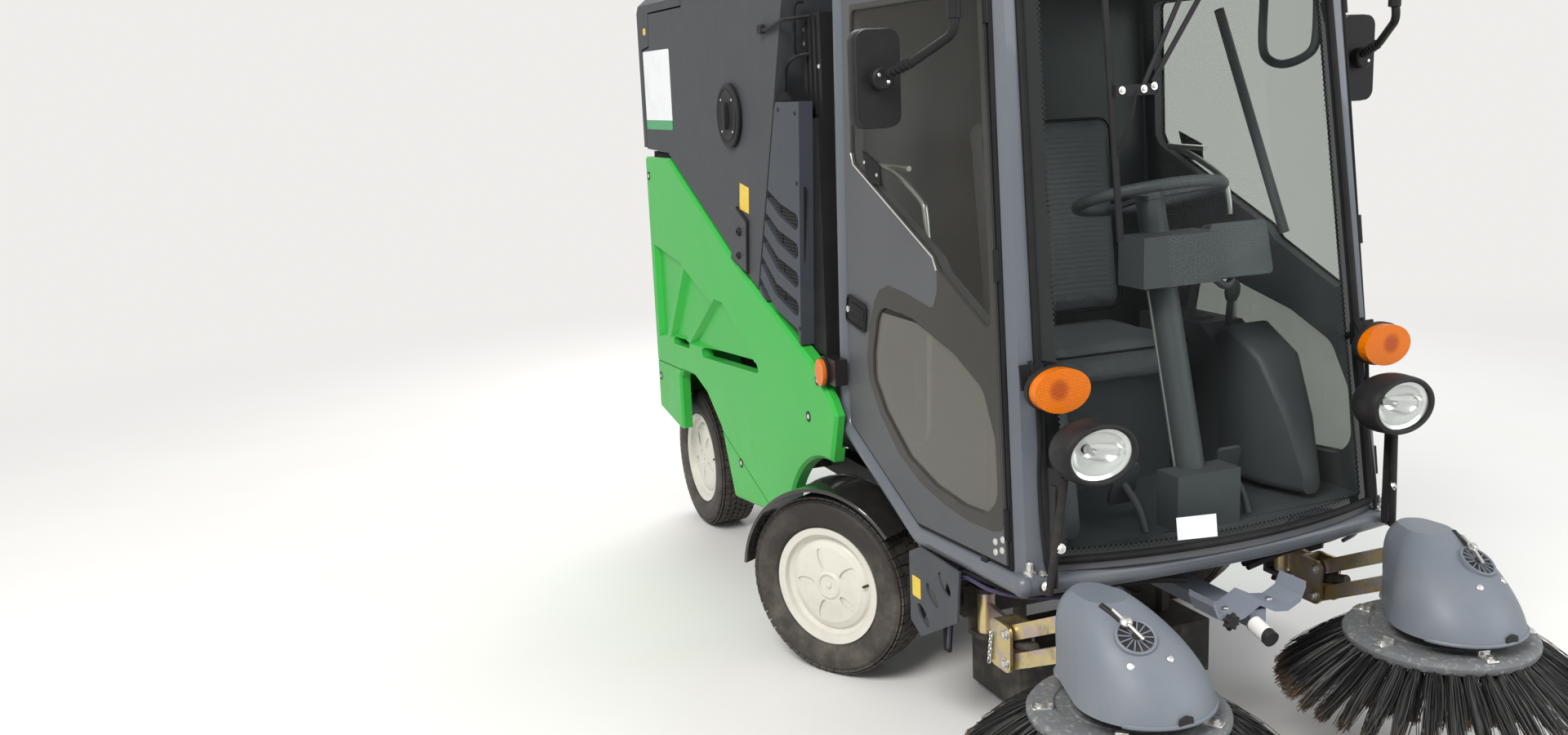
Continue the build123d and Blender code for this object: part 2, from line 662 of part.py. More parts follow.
# Lamps: pods on struts from the bumper, oval indicators on the posts and side markers by the nose.
LAMP_FRONT, LAMP_Y, LAMP_Z = 2537, 416, 860
with BuildPart() as headlamp_right:
    with BuildSketch(cross(2432)):
        with Locations((-LAMP_Y, LAMP_Z)):
            Ellipse(52, 42)
    with BuildSketch(cross(2485)):
        with Locations((-LAMP_Y, LAMP_Z)):
            Ellipse(94, 70)
    with BuildSketch(cross(LAMP_FRONT - 6)):
        with Locations((-LAMP_Y, LAMP_Z)):
            Ellipse(92, 66)
    loft()
    # bowl for the reflector, behind the lens
    with BuildSketch(cross(2468)):
        with Locations((-LAMP_Y, LAMP_Z)):
            Ellipse(34, 28)
    with BuildSketch(cross(LAMP_FRONT - 6)):
        with Locations((-LAMP_Y, LAMP_Z)):
            Ellipse(82, 56)
    loft(mode=Mode.SUBTRACT)
    rod((2400, -490, CAB_SILL_Z), (2450, -490, CAB_SILL_Z), 9)
    rod((2446, -490, CAB_SILL_Z - 8), (2466, -462, 800), 9)
    add(cab_frame.part, mode=Mode.SUBTRACT)
with BuildPart() as headlamps:
    add(headlamp_right.part)
    mirror(headlamp_right.part, about=Plane.XZ)
save(headlamps, "headlamps")

with BuildPart() as lamp_lenses:
    with BuildSketch(cross(LAMP_FRONT - 6)):
        for y in (-LAMP_Y, LAMP_Y):
            with Locations((y, LAMP_Z)):
                Ellipse(84, 58)
    extrude(amount=6)
save(lamp_lenses, "lamp_lenses")

with BuildPart() as indicator_right:
    with BuildSketch(cross(2412)):
        with Locations((-452, 986)):
            Ellipse(70, 49)
    extrude(amount=34)
    rod((2330, -482, 1002), (2425, -455, 990), 9)
    with BuildSketch(side(570)):
        with Locations((1430, 862)):
            Ellipse(30, 38)
    extrude(amount=18)
    block((1412, 1500), (-570, -532), (832, 905))
    add(cab_frame.part, mode=Mode.SUBTRACT)
with BuildPart() as indicators:
    add(indicator_right.part)
    mirror(indicator_right.part, about=Plane.XZ)
save(indicators, "indicators")

with BuildPart() as beacon:
    rod((1760, 0, ROOF_Z), (1760, 0, ROOF_Z + 22), 62)
    rod((1760, 0, ROOF_Z + 22), (1760, 0, ROOF_Z + 120), 52)
    chamfer(beacon.faces().sort_by(Axis.Z)[-1].edges(), 18)
save(beacon, "beacon")

# Wiper: two parallel arms down to a bracket that carries the upright blade.
with BuildPart() as wiper:
    block((2310, 2334), (-60, 50), (1846, CAB_TOP_Z))
    rod((2322, -36, 1862), (2346, -183, 1611), 6)
    rod((2322, 26, 1862), (2346, -156, 1624), 6)
    block((2334, 2352), (-255, -145), (1598, 1622))
    rod((2377, -259, 1284), (2303, -253, 1835), 8)
save(wiper, "wiper")

# Step plates behind the brush arms, each with three oval holes and a bracket to the front beam.
STEP_OUTLINE = ((1905, 478), (1905, 296), (1960, 268), (2150, 372), (2165, 505), (1965, 508))
STEP_HOLES = ((1975, 330), (2025, 400), (2090, 450))
with BuildPart() as step_right:
    with BuildSketch(side(553)):
        with BuildLine():
            Polyline(*STEP_OUTLINE, close=True)
        make_face()
        with Locations(*[Location(hole, -35) for hole in STEP_HOLES]):
            Ellipse(36, 17, mode=Mode.SUBTRACT)
    extrude(amount=6)
    block((2035, 2065), (-553, -500), (375, 405))
with BuildPart() as step_plates:
    add(step_right.part)
    mirror(step_right.part, about=Plane.XZ)
save(step_plates, "step_plates")

# Centre rest: a wave-shaped casting on a neck, which parks the brush heads, and its white roller.
REST_WAVE = ((-130, 472), (-116, 440), (-80, 424), (-42, 430), (0, 452), (42, 430), (80, 424), (116, 440), (130, 472))
with BuildPart() as centre_rest:
    block((2080, 2470), (-38, 38), (395, 425))
    with BuildSketch(cross(2465)):
        with BuildLine():
            Polyline(*REST_WAVE, *[(y, z + 15) for y, z in reversed(REST_WAVE)], close=True)
        make_face()
    extrude(amount=86)
    block((2440, 2545), (-22, 22), (400, 440))
    rod((2545, -12, 410), (2605, -12, 392), 19)
save(centre_rest, "centre_rest")

# Suction nozzle, open below, and the duct that runs over the front axle to the hopper.
NOZZLE_X, NOZZLE_HALF, NOZZLE_Z = (1760, 2010), 300, (20, 170)
DUCT = ((1885, 0, 165), (1840, 0, 330), (1400, 0, 400), (1085, 0, 480), (1085, 0, 1230))
with BuildPart() as suction_nozzle:
    block(NOZZLE_X, (-NOZZLE_HALF, NOZZLE_HALF), NOZZLE_Z)
    block((1775, 1995), (15 - NOZZLE_HALF, NOZZLE_HALF - 15), (0, 150), mode=Mode.SUBTRACT)
    with BuildLine() as duct_line:
        FilletPolyline(*[at(*point) for point in DUCT], radius=75)
    with BuildSketch(Plane(origin=duct_line.line @ 0, z_dir=duct_line.line % 0)):
        Circle(70)
    sweep(path=duct_line.line)
    for y in (-RAIL_Y, RAIL_Y):
        block((1880, 1910), (y - 12, y + 12), (NOZZLE_Z[1], RAIL_Z[0]))
save(suction_nozzle, "suction_nozzle")

# Brush gear, right side. The arm's base swings on an upright pin and holds the roots of two links.
CHEEK_IN, CHEEK_OUT = LINK_HALF + 5, LINK_HALF + 13
PIN_R = 10
HEAD_PIN = (
    ROOT_PIN[0] + LINK_LENGTH * cos(radians(LINK_RISE)),
    ROOT_PIN[1] + LINK_LENGTH * sin(radians(LINK_RISE)),
)
CHEEK_SIDES = (-LINK_Y - CHEEK_OUT, -LINK_Y + CHEEK_IN)


def pin_column(pin, radius, back):
    """Sketch a dogbone round a pin and the one below it, reaching `back` behind them."""
    for x in (pin[0], pin[0] + back):
        for z in (pin[1], pin[1] - LINK_GAP):
            with Locations((x, z)):
                Circle(radius)
    make_hull()


with BuildPart() as arm_base_right:
    rod((*SWING_PIN, 319), (*SWING_PIN, 421), 22)
    with BuildSketch(side(-LINK_Y - 6)):
        with BuildLine():
            Polyline((2112, 345), (2112, 402), (2210, 392), (2210, 279), close=True)
        make_face()
    extrude(amount=12)
    block((2204, 2216), (LINK_Y - CHEEK_OUT, LINK_Y + CHEEK_OUT), (279, 392))
    for y in CHEEK_SIDES:
        with BuildSketch(side(y)):
            pin_column(ROOT_PIN, 22, -50)
        extrude(amount=CHEEK_OUT - CHEEK_IN)
save_pair(arm_base_right, "arm_base")

for label, drop in (("upper_link", 0), ("lower_link", LINK_GAP)):
    with BuildPart() as link_right:
        with BuildSketch(side(-LINK_Y - LINK_HALF)):
            for x, z in (ROOT_PIN, HEAD_PIN):
                with Locations((x, z - drop)):
                    Circle(18)
            make_hull()
        extrude(amount=2 * LINK_HALF)
    save_pair(link_right, label)

# Brush head: clevis at the links' ends, bracket, hydraulic motor and its shaft.
with BuildPart() as brush_head_right:
    for y in CHEEK_SIDES:
        with BuildSketch(side(y)):
            pin_column(HEAD_PIN, 20, 36)
        extrude(amount=CHEEK_OUT - CHEEK_IN)
    web = HEAD_PIN[0] + 30
    block((web, web + 12), (LINK_Y - CHEEK_OUT, LINK_Y + CHEEK_OUT), (399, 505))
    block((web, 2705), (BRUSH_CENTRE[1] - 34, BRUSH_CENTRE[1] + 34), (472, 484))
    rod((*BRUSH_CENTRE, 372), (*BRUSH_CENTRE, 473), 55)
    rod((*BRUSH_CENTRE, 362), (*BRUSH_CENTRE, 373), 16)
    rod((2600, -448, 483), (2600, -448, 561), 11)
save_pair(brush_head_right, "brush_head")

# Brush cover: a teardrop moulding, lofted through sections of a large and a small circle.
# Section columns: height, large circle x, y, radius, small circle x, y, radius
COVER_SECTIONS = (
    (385, 2702, -430, 146, 2552, -458, 72),
    (470, 2678, -434, 122, 2550, -458, 70),
    (540, 2626, -445, 84, 2548, -457, 62),
    (575, 2592, -450, 50, 2554, -455, 42),
)
COVER_SKIN = 7


def cover_section(height, big_x, big_y, big_r, small_x, small_y, small_r):
    """Teardrop outline at one height of the cover."""
    with BuildSketch(plan(height)) as drop:
        with Locations((big_x, big_y)):
            Circle(big_r)
        with Locations((small_x, small_y)):
            Circle(small_r)
        make_hull()
    return drop.sketch.face()


with BuildPart() as brush_cover_right:
    loft(sections=[cover_section(*row) for row in COVER_SECTIONS])
    inner = []
    for height, big_x, big_y, big_r, small_x, small_y, small_r in COVER_SECTIONS:
        inner.append(
            cover_section(
                height - COVER_SKIN, big_x, big_y, big_r - COVER_SKIN, small_x, small_y, small_r - COVER_SKIN
            )
        )
    loft(sections=inner, mode=Mode.SUBTRACT)
    # tunnel for the links, and the round vent in the crown
    block((2420, 2545), (-502, -418), (370, 525), mode=Mode.SUBTRACT)
save_pair(brush_cover_right, "brush_cover")

# Side brush: a thick disc with two rows of stiff tufts that lean outwards.
DISC_PROFILE = ((0, 361), (40, 361), (46, 352), (190, 352), (209, 346), (DISC_R, 336), (207, 324), (0, 324))
# Tuft rows: root radius, lean from upright, length, count, root size
TUFT_ROWS = ((188, 52, 225, TUFT_COUNT, 9), (138, 30, 160, TUFT_COUNT * 2 // 3, 9))
TUFT_FLARE = 2.4
with BuildPart() as side_brush_right:
    spindle = Vector(*at(*BRUSH_CENTRE, 0))
    with BuildSketch(Plane(origin=spindle, x_dir=(1, 0, 0), z_dir=(0, -1, 0))):
        with BuildLine():
            Polyline(*DISC_PROFILE, close=True)
        make_face()
    revolve(axis=Axis(spindle, (0, 0, 1)))
    for root_r, lean, length, count, size in TUFT_ROWS:
        for i in range(count):
            turn = radians(360 * i / count)
            radial = Vector(cos(turn), sin(turn), 0)
            along = radial * sin(radians(lean)) - Vector(0, 0, 1) * cos(radians(lean))
            root = spindle + radial * root_r + Vector(0, 0, 332)
            with BuildSketch(Plane(origin=root, z_dir=along)):
                RegularPolygon(size, 6)
        extrude(amount=length, taper=-TUFT_FLARE)
save_pair(side_brush_right, "side_brush")
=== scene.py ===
import math

import bmesh
import bpy
from mathutils import Matrix, Vector


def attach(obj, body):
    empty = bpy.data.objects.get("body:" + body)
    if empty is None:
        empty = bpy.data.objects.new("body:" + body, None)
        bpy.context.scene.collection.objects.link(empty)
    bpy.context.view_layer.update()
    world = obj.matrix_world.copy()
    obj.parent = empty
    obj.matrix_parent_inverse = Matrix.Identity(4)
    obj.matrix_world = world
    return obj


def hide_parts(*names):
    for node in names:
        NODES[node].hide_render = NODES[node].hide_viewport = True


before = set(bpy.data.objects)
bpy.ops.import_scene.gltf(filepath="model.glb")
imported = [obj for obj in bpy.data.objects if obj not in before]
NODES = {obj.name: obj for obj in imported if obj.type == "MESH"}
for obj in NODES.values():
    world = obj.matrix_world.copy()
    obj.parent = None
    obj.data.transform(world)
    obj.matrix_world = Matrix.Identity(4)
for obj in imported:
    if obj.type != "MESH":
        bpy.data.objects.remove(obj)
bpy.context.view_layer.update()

scene = bpy.context.scene
SIDES = (("right", -1), ("left", 1))
AHEAD, LEFT, UP = Vector((1, 0, 0)), Vector((0, 1, 0)), Vector((0, 0, 1))
# Places are measured from the rear axle, which stands here in the shared frame.
REAR_AXLE = -1.3925

# ---- Camera, lamps and floor ----
# The camera stands where the photograph was taken from: ahead of the machine, to its right, at eye level.
# A broad sun-side lamp, a soft sky and a pale floor light it plainly.
EYE = Vector((4.8892 + REAR_AXLE, -2.0487, 1.6511))
EYE_RIGHT, EYE_UP = Vector((0.372977, 0.926826, -0.043385)), Vector((-0.168832, 0.113772, 0.979056))
PALE = (0.86, 0.85, 0.83, 1)
FLOOR_RADIUS, HAZE_FROM, HAZE_TO = 12, 3.2, 7.5


def in_scene(name, data):
    obj = bpy.data.objects.new(name, data)
    scene.collection.objects.link(obj)
    return obj


def lamp(name, place, aim, size, watts, tint=(1, 1, 1)):
    data = bpy.data.lights.new(name, "AREA")
    data.size, data.energy, data.color = size, watts, tint
    obj = in_scene(name, data)
    obj.location = place
    obj.rotation_euler = (Vector(aim) - Vector(place)).to_track_quat("-Z", "Y").to_euler()


def spokes(count, first, second, shift=0.0):
    """Directions evenly round a circle, from the first one towards the second."""
    turns = [math.tau * (i + shift) / count for i in range(count)]
    return [first * math.cos(turn) + second * math.sin(turn) for turn in turns]


class Wire:
    """A value in a node tree. Arithmetic on it adds Math nodes."""

    def __init__(self, nodes, socket):
        self.nodes, self.socket = nodes, socket

    def __add__(self, other):
        return self.nodes.maths("ADD", self, other)

    def __radd__(self, other):
        return self.nodes.maths("ADD", other, self)

    def __sub__(self, other):
        return self.nodes.maths("SUBTRACT", self, other)

    def __rsub__(self, other):
        return self.nodes.maths("SUBTRACT", other, self)

    def __mul__(self, other):
        return self.nodes.maths("MULTIPLY", self, other)

    def __rmul__(self, other):
        return self.nodes.maths("MULTIPLY", other, self)

    def __lt__(self, other):
        return self.nodes.maths("LESS_THAN", self, other)

    def __gt__(self, other):
        return self.nodes.maths("GREATER_THAN", self, other)


class Nodes:
    """A node tree while it is being made."""

    def __init__(self, tree):
        self.tree = tree

    def link(self, wire, socket):
        self.tree.links.new(wire.socket, socket)

    def node(self, kind, settings=None, inputs=None, output=0):
        """Add any node: its settings first, then the values or links of its sockets."""
        made = self.tree.nodes.new(kind)
        for name, value in (settings or {}).items():
            setattr(made, name, value)
        for name, value in (inputs or {}).items():
            for one in value if isinstance(value, list) else [value]:
                if isinstance(one, Wire):
                    self.link(one, made.inputs[name])
                else:
                    made.inputs[name].default_value = one
        return Wire(self, made.outputs[output])

    def maths(self, operation, *values):
        return self.node("ShaderNodeMath", {"operation": operation}, dict(enumerate(values)))

    def mix(self, first, second, factor):
        """A colour between two colours."""
        first, second = (c if isinstance(c, Wire) or len(c) == 4 else (*c, 1) for c in (first, second))
        return self.node("ShaderNodeMix", {"data_type": "RGBA"}, {0: factor, 6: first, 7: second}, output=2)


class Finish(Nodes):
    """One material: its Principled shader and the nodes that feed it."""

    def __init__(self, name, colour, roughness, slot=None, **constants):
        self.slot, self.material = slot, bpy.data.materials.new(name)
        self.material.use_nodes = True
        super().__init__(self.material.node_tree)
        self.shader = self.tree.nodes["Principled BSDF"]
        self.face = Wire(self, self.shader.outputs[0])
        self.place = self.node("ShaderNodeTexCoord", output="Object")
        self.shader.inputs["Base Color"].default_value = (*colour, 1)
        self.shader.inputs["Roughness"].default_value = roughness
        for socket, value in constants.items():
            self.shader.inputs[socket.replace("_", " ")].default_value = value

    def feed(self, socket, wire):
        self.link(wire, self.shader.inputs[socket])
        return self

    def between(self, first, second, factor):
        """Let the surface lie between two shaders."""
        joined = self.node("ShaderNodeMixShader", inputs={0: factor, 1: first, 2: second})
        self.link(joined, self.tree.nodes["Material Output"].inputs["Surface"])
        return self

    def axis(self, letter):
        return self.node("ShaderNodeSeparateXYZ", inputs={0: self.place}, output=letter)

    def beside(self):
        """The distance from the machine's middle plane."""
        return self.maths("ABSOLUTE", self.axis("Y"))

    def noise(self, scale, detail=3, roughness=0.55):
        wanted = {"Vector": self.place, "Scale": scale, "Detail": detail, "Roughness": roughness}
        return self.node("ShaderNodeTexNoise", inputs=wanted)

    def band(self, wire, low, high, start=0.0, end=1.0):
        """A smooth step of the value from low to high."""
        wanted = {0: wire, 1: low, 2: high, 3: start, 4: end}
        return self.node("ShaderNodeMapRange", {"interpolation_type": "SMOOTHSTEP"}, wanted)

    def bump(self, height, distance, strength=1.0):
        wanted = {"Height": height, "Distance": distance, "Strength": strength}
        return self.feed("Normal", self.node("ShaderNodeBump", inputs=wanted, output="Normal"))

    def dress(self, *names):
        """Give the finish to CAD nodes, or to new pieces."""
        for name in names:
            piece = NODES[name] if isinstance(name, str) else name
            piece.data.materials.clear()
            piece.data.materials.append(self.material)
        return self


scene.camera = in_scene("camera", bpy.data.cameras.new("camera"))
view = scene.camera.data
view.lens, view.sensor_width, view.clip_start, view.shift_y = 31.47, 36, 0.05, -0.0019
eye_turn = Matrix((EYE_RIGHT, EYE_UP, EYE_RIGHT.cross(EYE_UP))).transposed()
scene.camera.matrix_world = Matrix.Translation(EYE) @ eye_turn.to_4x4()
lamp("key", (3.5, -4.5, 6.0), (0, 0, 0.8), 3.0, 520, (1, 0.98, 0.95))
lamp("fill", (5.5, 4.0, 3.5), (0.5, 0, 0.8), 4.0, 190, (0.95, 0.98, 1))
lamp("back", (-5.0, 1.5, 5.0), (-0.5, 0, 1.0), 4.0, 260)
scene.view_settings.view_transform = "Standard"
scene.world = bpy.data.worlds.new("sky")
scene.world.use_nodes = True
sky = Nodes(scene.world.node_tree)
# The lens, and whatever mirrors or lets light through, see a pale backdrop; a softer sky lights the machine
seen = sky.node("ShaderNodeLightPath", output="Is Camera Ray")
for kind in ("Is Transmission Ray", "Is Glossy Ray"):
    seen = sky.maths("MAXIMUM", seen, sky.node("ShaderNodeLightPath", output=kind))
background = sky.tree.nodes["Background"].inputs
sky.link(sky.mix((0.93, 0.96, 1.0), PALE, seen), background["Color"])
sky.link(sky.node("ShaderNodeMix", inputs={0: seen, 2: 0.62, 3: 1.0}), background["Strength"])
floor_mesh = bpy.data.meshes.new("floor")
floor_mesh.from_pydata([spoke * FLOOR_RADIUS for spoke in spokes(48, AHEAD, LEFT)], [], [tuple(range(48))])
floor = in_scene("floor", floor_mesh)
stone = Finish("floor_stone", (0.74, 0.725, 0.70), 0.85)
far = stone.node("ShaderNodeVectorMath", {"operation": "LENGTH"}, {0: stone.place}, output=1)
stone.feed("Base Color", stone.mix((0.72, 0.70, 0.67), (0.76, 0.75, 0.73), stone.noise(1.5)))
haze = stone.node("ShaderNodeEmission", inputs={"Color": PALE, "Strength": 1.0})
stone.between(stone.face, haze, stone.band(far, HAZE_FROM, HAZE_TO)).dress(floor)

# ---- Chassis and axles ----
# Box rails, posts and cross members welded from tube and painted satin black, with the axles under them.
# Stones chip the low parts and paving dust settles on them.
DEEP = {"Specular_IOR_Level": 0.16}
DUST = (0.42, 0.37, 0.31)


def moulded(name, colour, roughness, slot, grain=900, depth=0.0002, dust=0.25, dust_top=0.9, **constants):
    """Moulded plastic or paint: faint mottling, moulded grain, and road dust that fades out upwards."""
    finish = Finish(name, colour, roughness, slot, **{"Specular_IOR_Level": 0.32, **constants})
    dark, light = [tuple(c * k for c in colour) for k in (0.93, 1.05)]
    coat = finish.mix(dark, light, finish.noise(3.5, 4))
    smear = finish.band(finish.noise(9, 6, 0.7), 0.42, 0.75)
    low = 1.0 - finish.band(finish.axis("Z"), 0.2, dust_top)
    finish.feed("Base Color", finish.mix(coat, DUST, (0.25 + smear * 0.75) * (low * dust + 0.02)))
    finish.feed("Roughness", finish.noise(14, 3) * 0.12 + (smear * low * 0.25 + (roughness - 0.06)))
    return finish.bump(finish.noise(grain, 2), depth, 0.6)


chassis_black = moulded("chassis_black", (0.015, 0.015, 0.0165), 0.5, "black_paint", 200, 0.0004, 0.3, 0.8, **DEEP)
chassis_black.dress("chassis_frame", "front_axle", "rear_axle", "knuckle_right", "knuckle_left", "tie_rod")
chassis_black.dress("suction_nozzle")
cast_iron = moulded("cast_iron", (0.07, 0.07, 0.073), 0.65, "engine_metal", 90, 0.001, 0.3, 0.9, Metallic=0.6)
cast_iron.dress("engine_block")


# ---- Tyres ----
# Road tyres on twelve-inch wheels: a moulded casing with a bead ridge and a scuff rib, and tread blocks
# in nine rows round it. The front pair stands turned to the left.
def at(x, y, z):
    """A place given in millimetres: forward from the rear axle, to the left, and up."""
    return Vector((REAR_AXLE + x / 1000, y / 1000, z / 1000))


def places(points, sign=1):
    """Places in millimetres, or their mirror images where sign is -1."""
    return [at(x, y * sign, z) for x, y, z in points]


def side_on(outline, y):
    """An outline of (forward, up) pairs, this far to the left."""
    return [at(x, y, z) for x, z in outline]


def head_on(outline, x):
    """An outline of (left, up) pairs, this far forward."""
    return [at(x, y, z) for y, z in outline]


def eased(points, steps):
    """A smooth line through the points, with this many steps to each stretch."""
    line, last = [], len(points) - 1
    for i in range(last):
        before, a, b, after = points[max(i - 1, 0)], points[i], points[i + 1], points[min(i + 2, last)]
        for step in range(steps):
            t = step / steps
            bend = (b - before) * t + (2 * before - 5 * a + 4 * b - after) * t**2
            line.append(a + 0.5 * (bend + (3 * a - before - 3 * b + after) * t**3))
    return [*line, points[-1]]


class Shape:
    """The faces of one piece while it is being made. Widths and heights are in millimetres."""

    def __init__(self):
        self.bm = bmesh.new()

    def skin(self, rings, loop=False):
        """Cover rings of equally many points. The ends are closed, or the last ring meets the first."""
        rows = [[self.bm.verts.new(point) for point in ring] for ring in rings]
        if loop:
            rows.append(rows[0])
        else:
            self.bm.faces.new(rows[0][::-1])
            self.bm.faces.new(rows[-1])
        for low, high in zip(rows, rows[1:]):
            for i in range(len(low)):
                self.bm.faces.new((low[i - 1], low[i], high[i], high[i - 1]))
        return self

    def turned(self, centre, axis, profile, sides=32, loop=False, flat=(1, 1)):
        """A turned part from (radius, distance along the axis) pairs, squeezed into an oval by `flat`."""
        axis = axis.normalized()
        across = (UP - axis * axis.z).normalized() if abs(axis.z) < 0.9 else AHEAD
        across = (across - axis * across.dot(axis)).normalized()
        around = spokes(sides, across * flat[0], axis.cross(across) * flat[1])
        rings = [[centre + (axis * along + spoke * radius) / 1000 for spoke in around] for radius, along in profile]
        return self.skin(rings, loop)

    def tube(self, points, radius, sides=10, steps=6, closed=False, flat=1.0):
        """A bar or pipe through the points, bent smoothly between them."""
        line = eased(points, steps) if steps > 1 else list(points)
        last, side, rings = len(line) - 1, None, []
        for i, here in enumerate(line):
            before, after = (i - 1, (i + 1) % (last + 1)) if closed else (max(i - 1, 0), min(i + 1, last))
            ahead = (line[after] - line[before]).normalized()
            side = (side - ahead * side.dot(ahead)).normalized() if side else ahead.orthogonal().normalized()
            around = spokes(sides, side, ahead.cross(side) * flat)
            rings.append([here + spoke * radius / 1000 for spoke in around])
        return self.skin(rings, closed)

    def sheet(self, outlines, rise):
        """A flat sheet, `rise` thick, that fills the first outline apart from the others."""
        sides = ([], [])
        for outline in outlines:
            rings = [[self.bm.verts.new(point + lift) for point in outline] for lift in (Vector(), rise)]
            for i in range(len(outline)):
                self.bm.faces.new((rings[0][i - 1], rings[0][i], rings[1][i], rings[1][i - 1]))
            for side, ring in zip(sides, rings):
                side += [self.bm.edges.get((ring[i - 1], ring[i])) for i in range(len(ring))]
        for side in sides:
            bmesh.ops.triangle_fill(self.bm, use_beauty=True, edges=side)
        return self

    def plate(self, outline, rise, edge=1.0):
        """A plate on its outline, `rise` thick, with its upper edge eased over."""
        middle = sum(outline, Vector()) / len(outline)
        eased_in = [p + (middle - p).normalized() * edge / 1000 for p in outline]
        return self.skin([outline, [p + rise * 0.7 for p in outline], [p + rise for p in eased_in]])

    def side_plate(self, outline, y, rise, edge=1.0):
        """A plate on a flank, from (forward, up) pairs. It stands out to the left by `rise`."""
        return self.plate(side_on(outline, y), LEFT * rise / 1000, edge)


def settle(piece, body, finish, stands_for, crease):
    """Shade the piece, dress it, and let it ride on its body."""
    piece.data.shade_smooth()
    piece.data.set_sharp_from_angle(angle=math.radians(crease))
    finish.dress(piece)
    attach(piece, body)
    if stands_for:
        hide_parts(*stands_for)
    return piece


def fitted(name, shape, body, finish, stands_for=(), crease=35):
    """Make the finished piece: closed, facing outwards, dressed, and riding on its body."""
    bmesh.ops.remove_doubles(shape.bm, verts=shape.bm.verts, dist=0.00003)
    bmesh.ops.dissolve_degenerate(shape.bm, dist=0.00001, edges=shape.bm.edges)
    bmesh.ops.recalc_face_normals(shape.bm, faces=shape.bm.faces)
    mesh = bpy.data.meshes.new(name)
    shape.bm.to_mesh(mesh)
    shape.bm.free()
    return settle(in_scene(name, mesh), body, finish, stands_for, crease)


def applied(obj):
    """The object's mesh with its modifiers applied."""
    return bpy.data.meshes.new_from_object(obj.evaluated_get(bpy.context.evaluated_depsgraph_get()))


class Pattern(Nodes):
    """A Geometry Nodes tree that sets copies of one small shape on given places."""

    def __init__(self, name, **sizes):
        super().__init__(bpy.data.node_groups.new(name, "GeometryNodeTree"))
        face = self.tree.interface
        face.new_socket("Places", in_out="INPUT", socket_type="NodeSocketGeometry")
        for label, value in sizes.items():
            kind = "NodeSocketInt" if isinstance(value, int) else "NodeSocketFloat"
            face.new_socket(label, in_out="INPUT", socket_type=kind).default_value = value
        face.new_socket("Material", in_out="INPUT", socket_type="NodeSocketMaterial")
        face.new_socket("Faces", in_out="OUTPUT", socket_type="NodeSocketGeometry")
        given = self.tree.nodes.new("NodeGroupInput").outputs
        self.given = {socket.name: Wire(self, socket) for socket in given if socket.name}
        self.made = self.tree.nodes.new("NodeGroupOutput").inputs[0]

    def field(self, name, kind):
        return self.node("GeometryNodeInputNamedAttribute", {"data_type": kind}, {"Name": name})

    def vector(self, x, y, z):
        return self.node("ShaderNodeCombineXYZ", inputs={0: x, 1: y, 2: z})

    def set_on_places(self, shape, points=None, turn=None, scale=None):
        """Copy the shape to each place with its own turn and scale, and make one mesh of them."""
        wanted = {
            "Points": points or self.given["Places"],
            "Instance": shape,
            "Rotation": turn or self.field("turn", "QUATERNION"),
            "Scale": scale or self.field("scale", "FLOAT_VECTOR"),
        }
        copies = self.node("GeometryNodeInstanceOnPoints", inputs=wanted)
        real = self.node("GeometryNodeRealizeInstances", inputs={0: copies})
        material = {0: real, "Material": self.given["Material"]}
        self.link(self.node("GeometryNodeSetMaterial", inputs=material), self.made)
        return self

    def place(self, name, spots, body, finish, crease=35, **sizes):
        """Run the tree over (place, turn, scale) spots and keep the result as a plain mesh."""
        mesh = bpy.data.meshes.new(name + "_spots")
        where, turns, scales = zip(*spots)
        mesh.from_pydata(where, [], [])
        for label, kind, field, rows in (
            ("turn", "QUATERNION", "value", turns), ("scale", "FLOAT_VECTOR", "vector", scales),
        ):
            column = mesh.attributes.new(label, kind, "POINT").data
            column.foreach_set(field, [value for row in rows for value in row])
        piece = in_scene(name, mesh)
        run = piece.modifiers.new("pattern", "NODES")
        run.node_group = self.tree
        sizes["Material"] = finish.material
        for item in self.tree.interface.items_tree:
            if item.name in sizes:
                run[item.identifier] = sizes[item.name]
        flat = applied(piece)
        piece.modifiers.clear()
        for spare in ("turn", "scale"):
            if spare in flat.attributes:
                flat.attributes.remove(flat.attributes[spare])
        flat.name = name
        piece.data = flat
        return settle(piece, body, finish, (), crease)


FRONT_AXLE, KINGPIN_Y, KINGPIN_TO_TYRE, REAR_TYRE_Y, HUB_Z, STEER = 1449, 527, 0.046, 425, 261, math.radians(30.4)


def wheels():
    """Each wheel's name, centre and outward direction as it stands."""
    for hand, sign in SIDES:
        outward = LEFT * math.cos(STEER) * sign - AHEAD * math.sin(STEER) * sign
        yield f"front_{hand}", at(FRONT_AXLE, sign * KINGPIN_Y, HUB_Z) + outward * KINGPIN_TO_TYRE, outward
        yield f"rear_{hand}", at(0, sign * REAR_TYRE_Y, HUB_Z), LEFT * sign


def basis(first, second):
    """The turn that lays X along the first direction and Y nearly along the second."""
    first = first.normalized()
    third = first.cross(second).normalized()
    return Matrix((first, third.cross(first), third)).transposed()


# Casing outline, one half: radius, distance from the wheel's middle plane
CASING = (
    (254, 0), (254, 52), (251, 60), (247, 66), (241, 72), (237, 74), (226, 75.6), (219, 76.4), (215, 77.4),
    (211, 76.6), (200, 76), (187, 72), (181, 69), (177, 66.5), (175, 62), (171, 60), (164, 58.5), (153.3, 53),
)
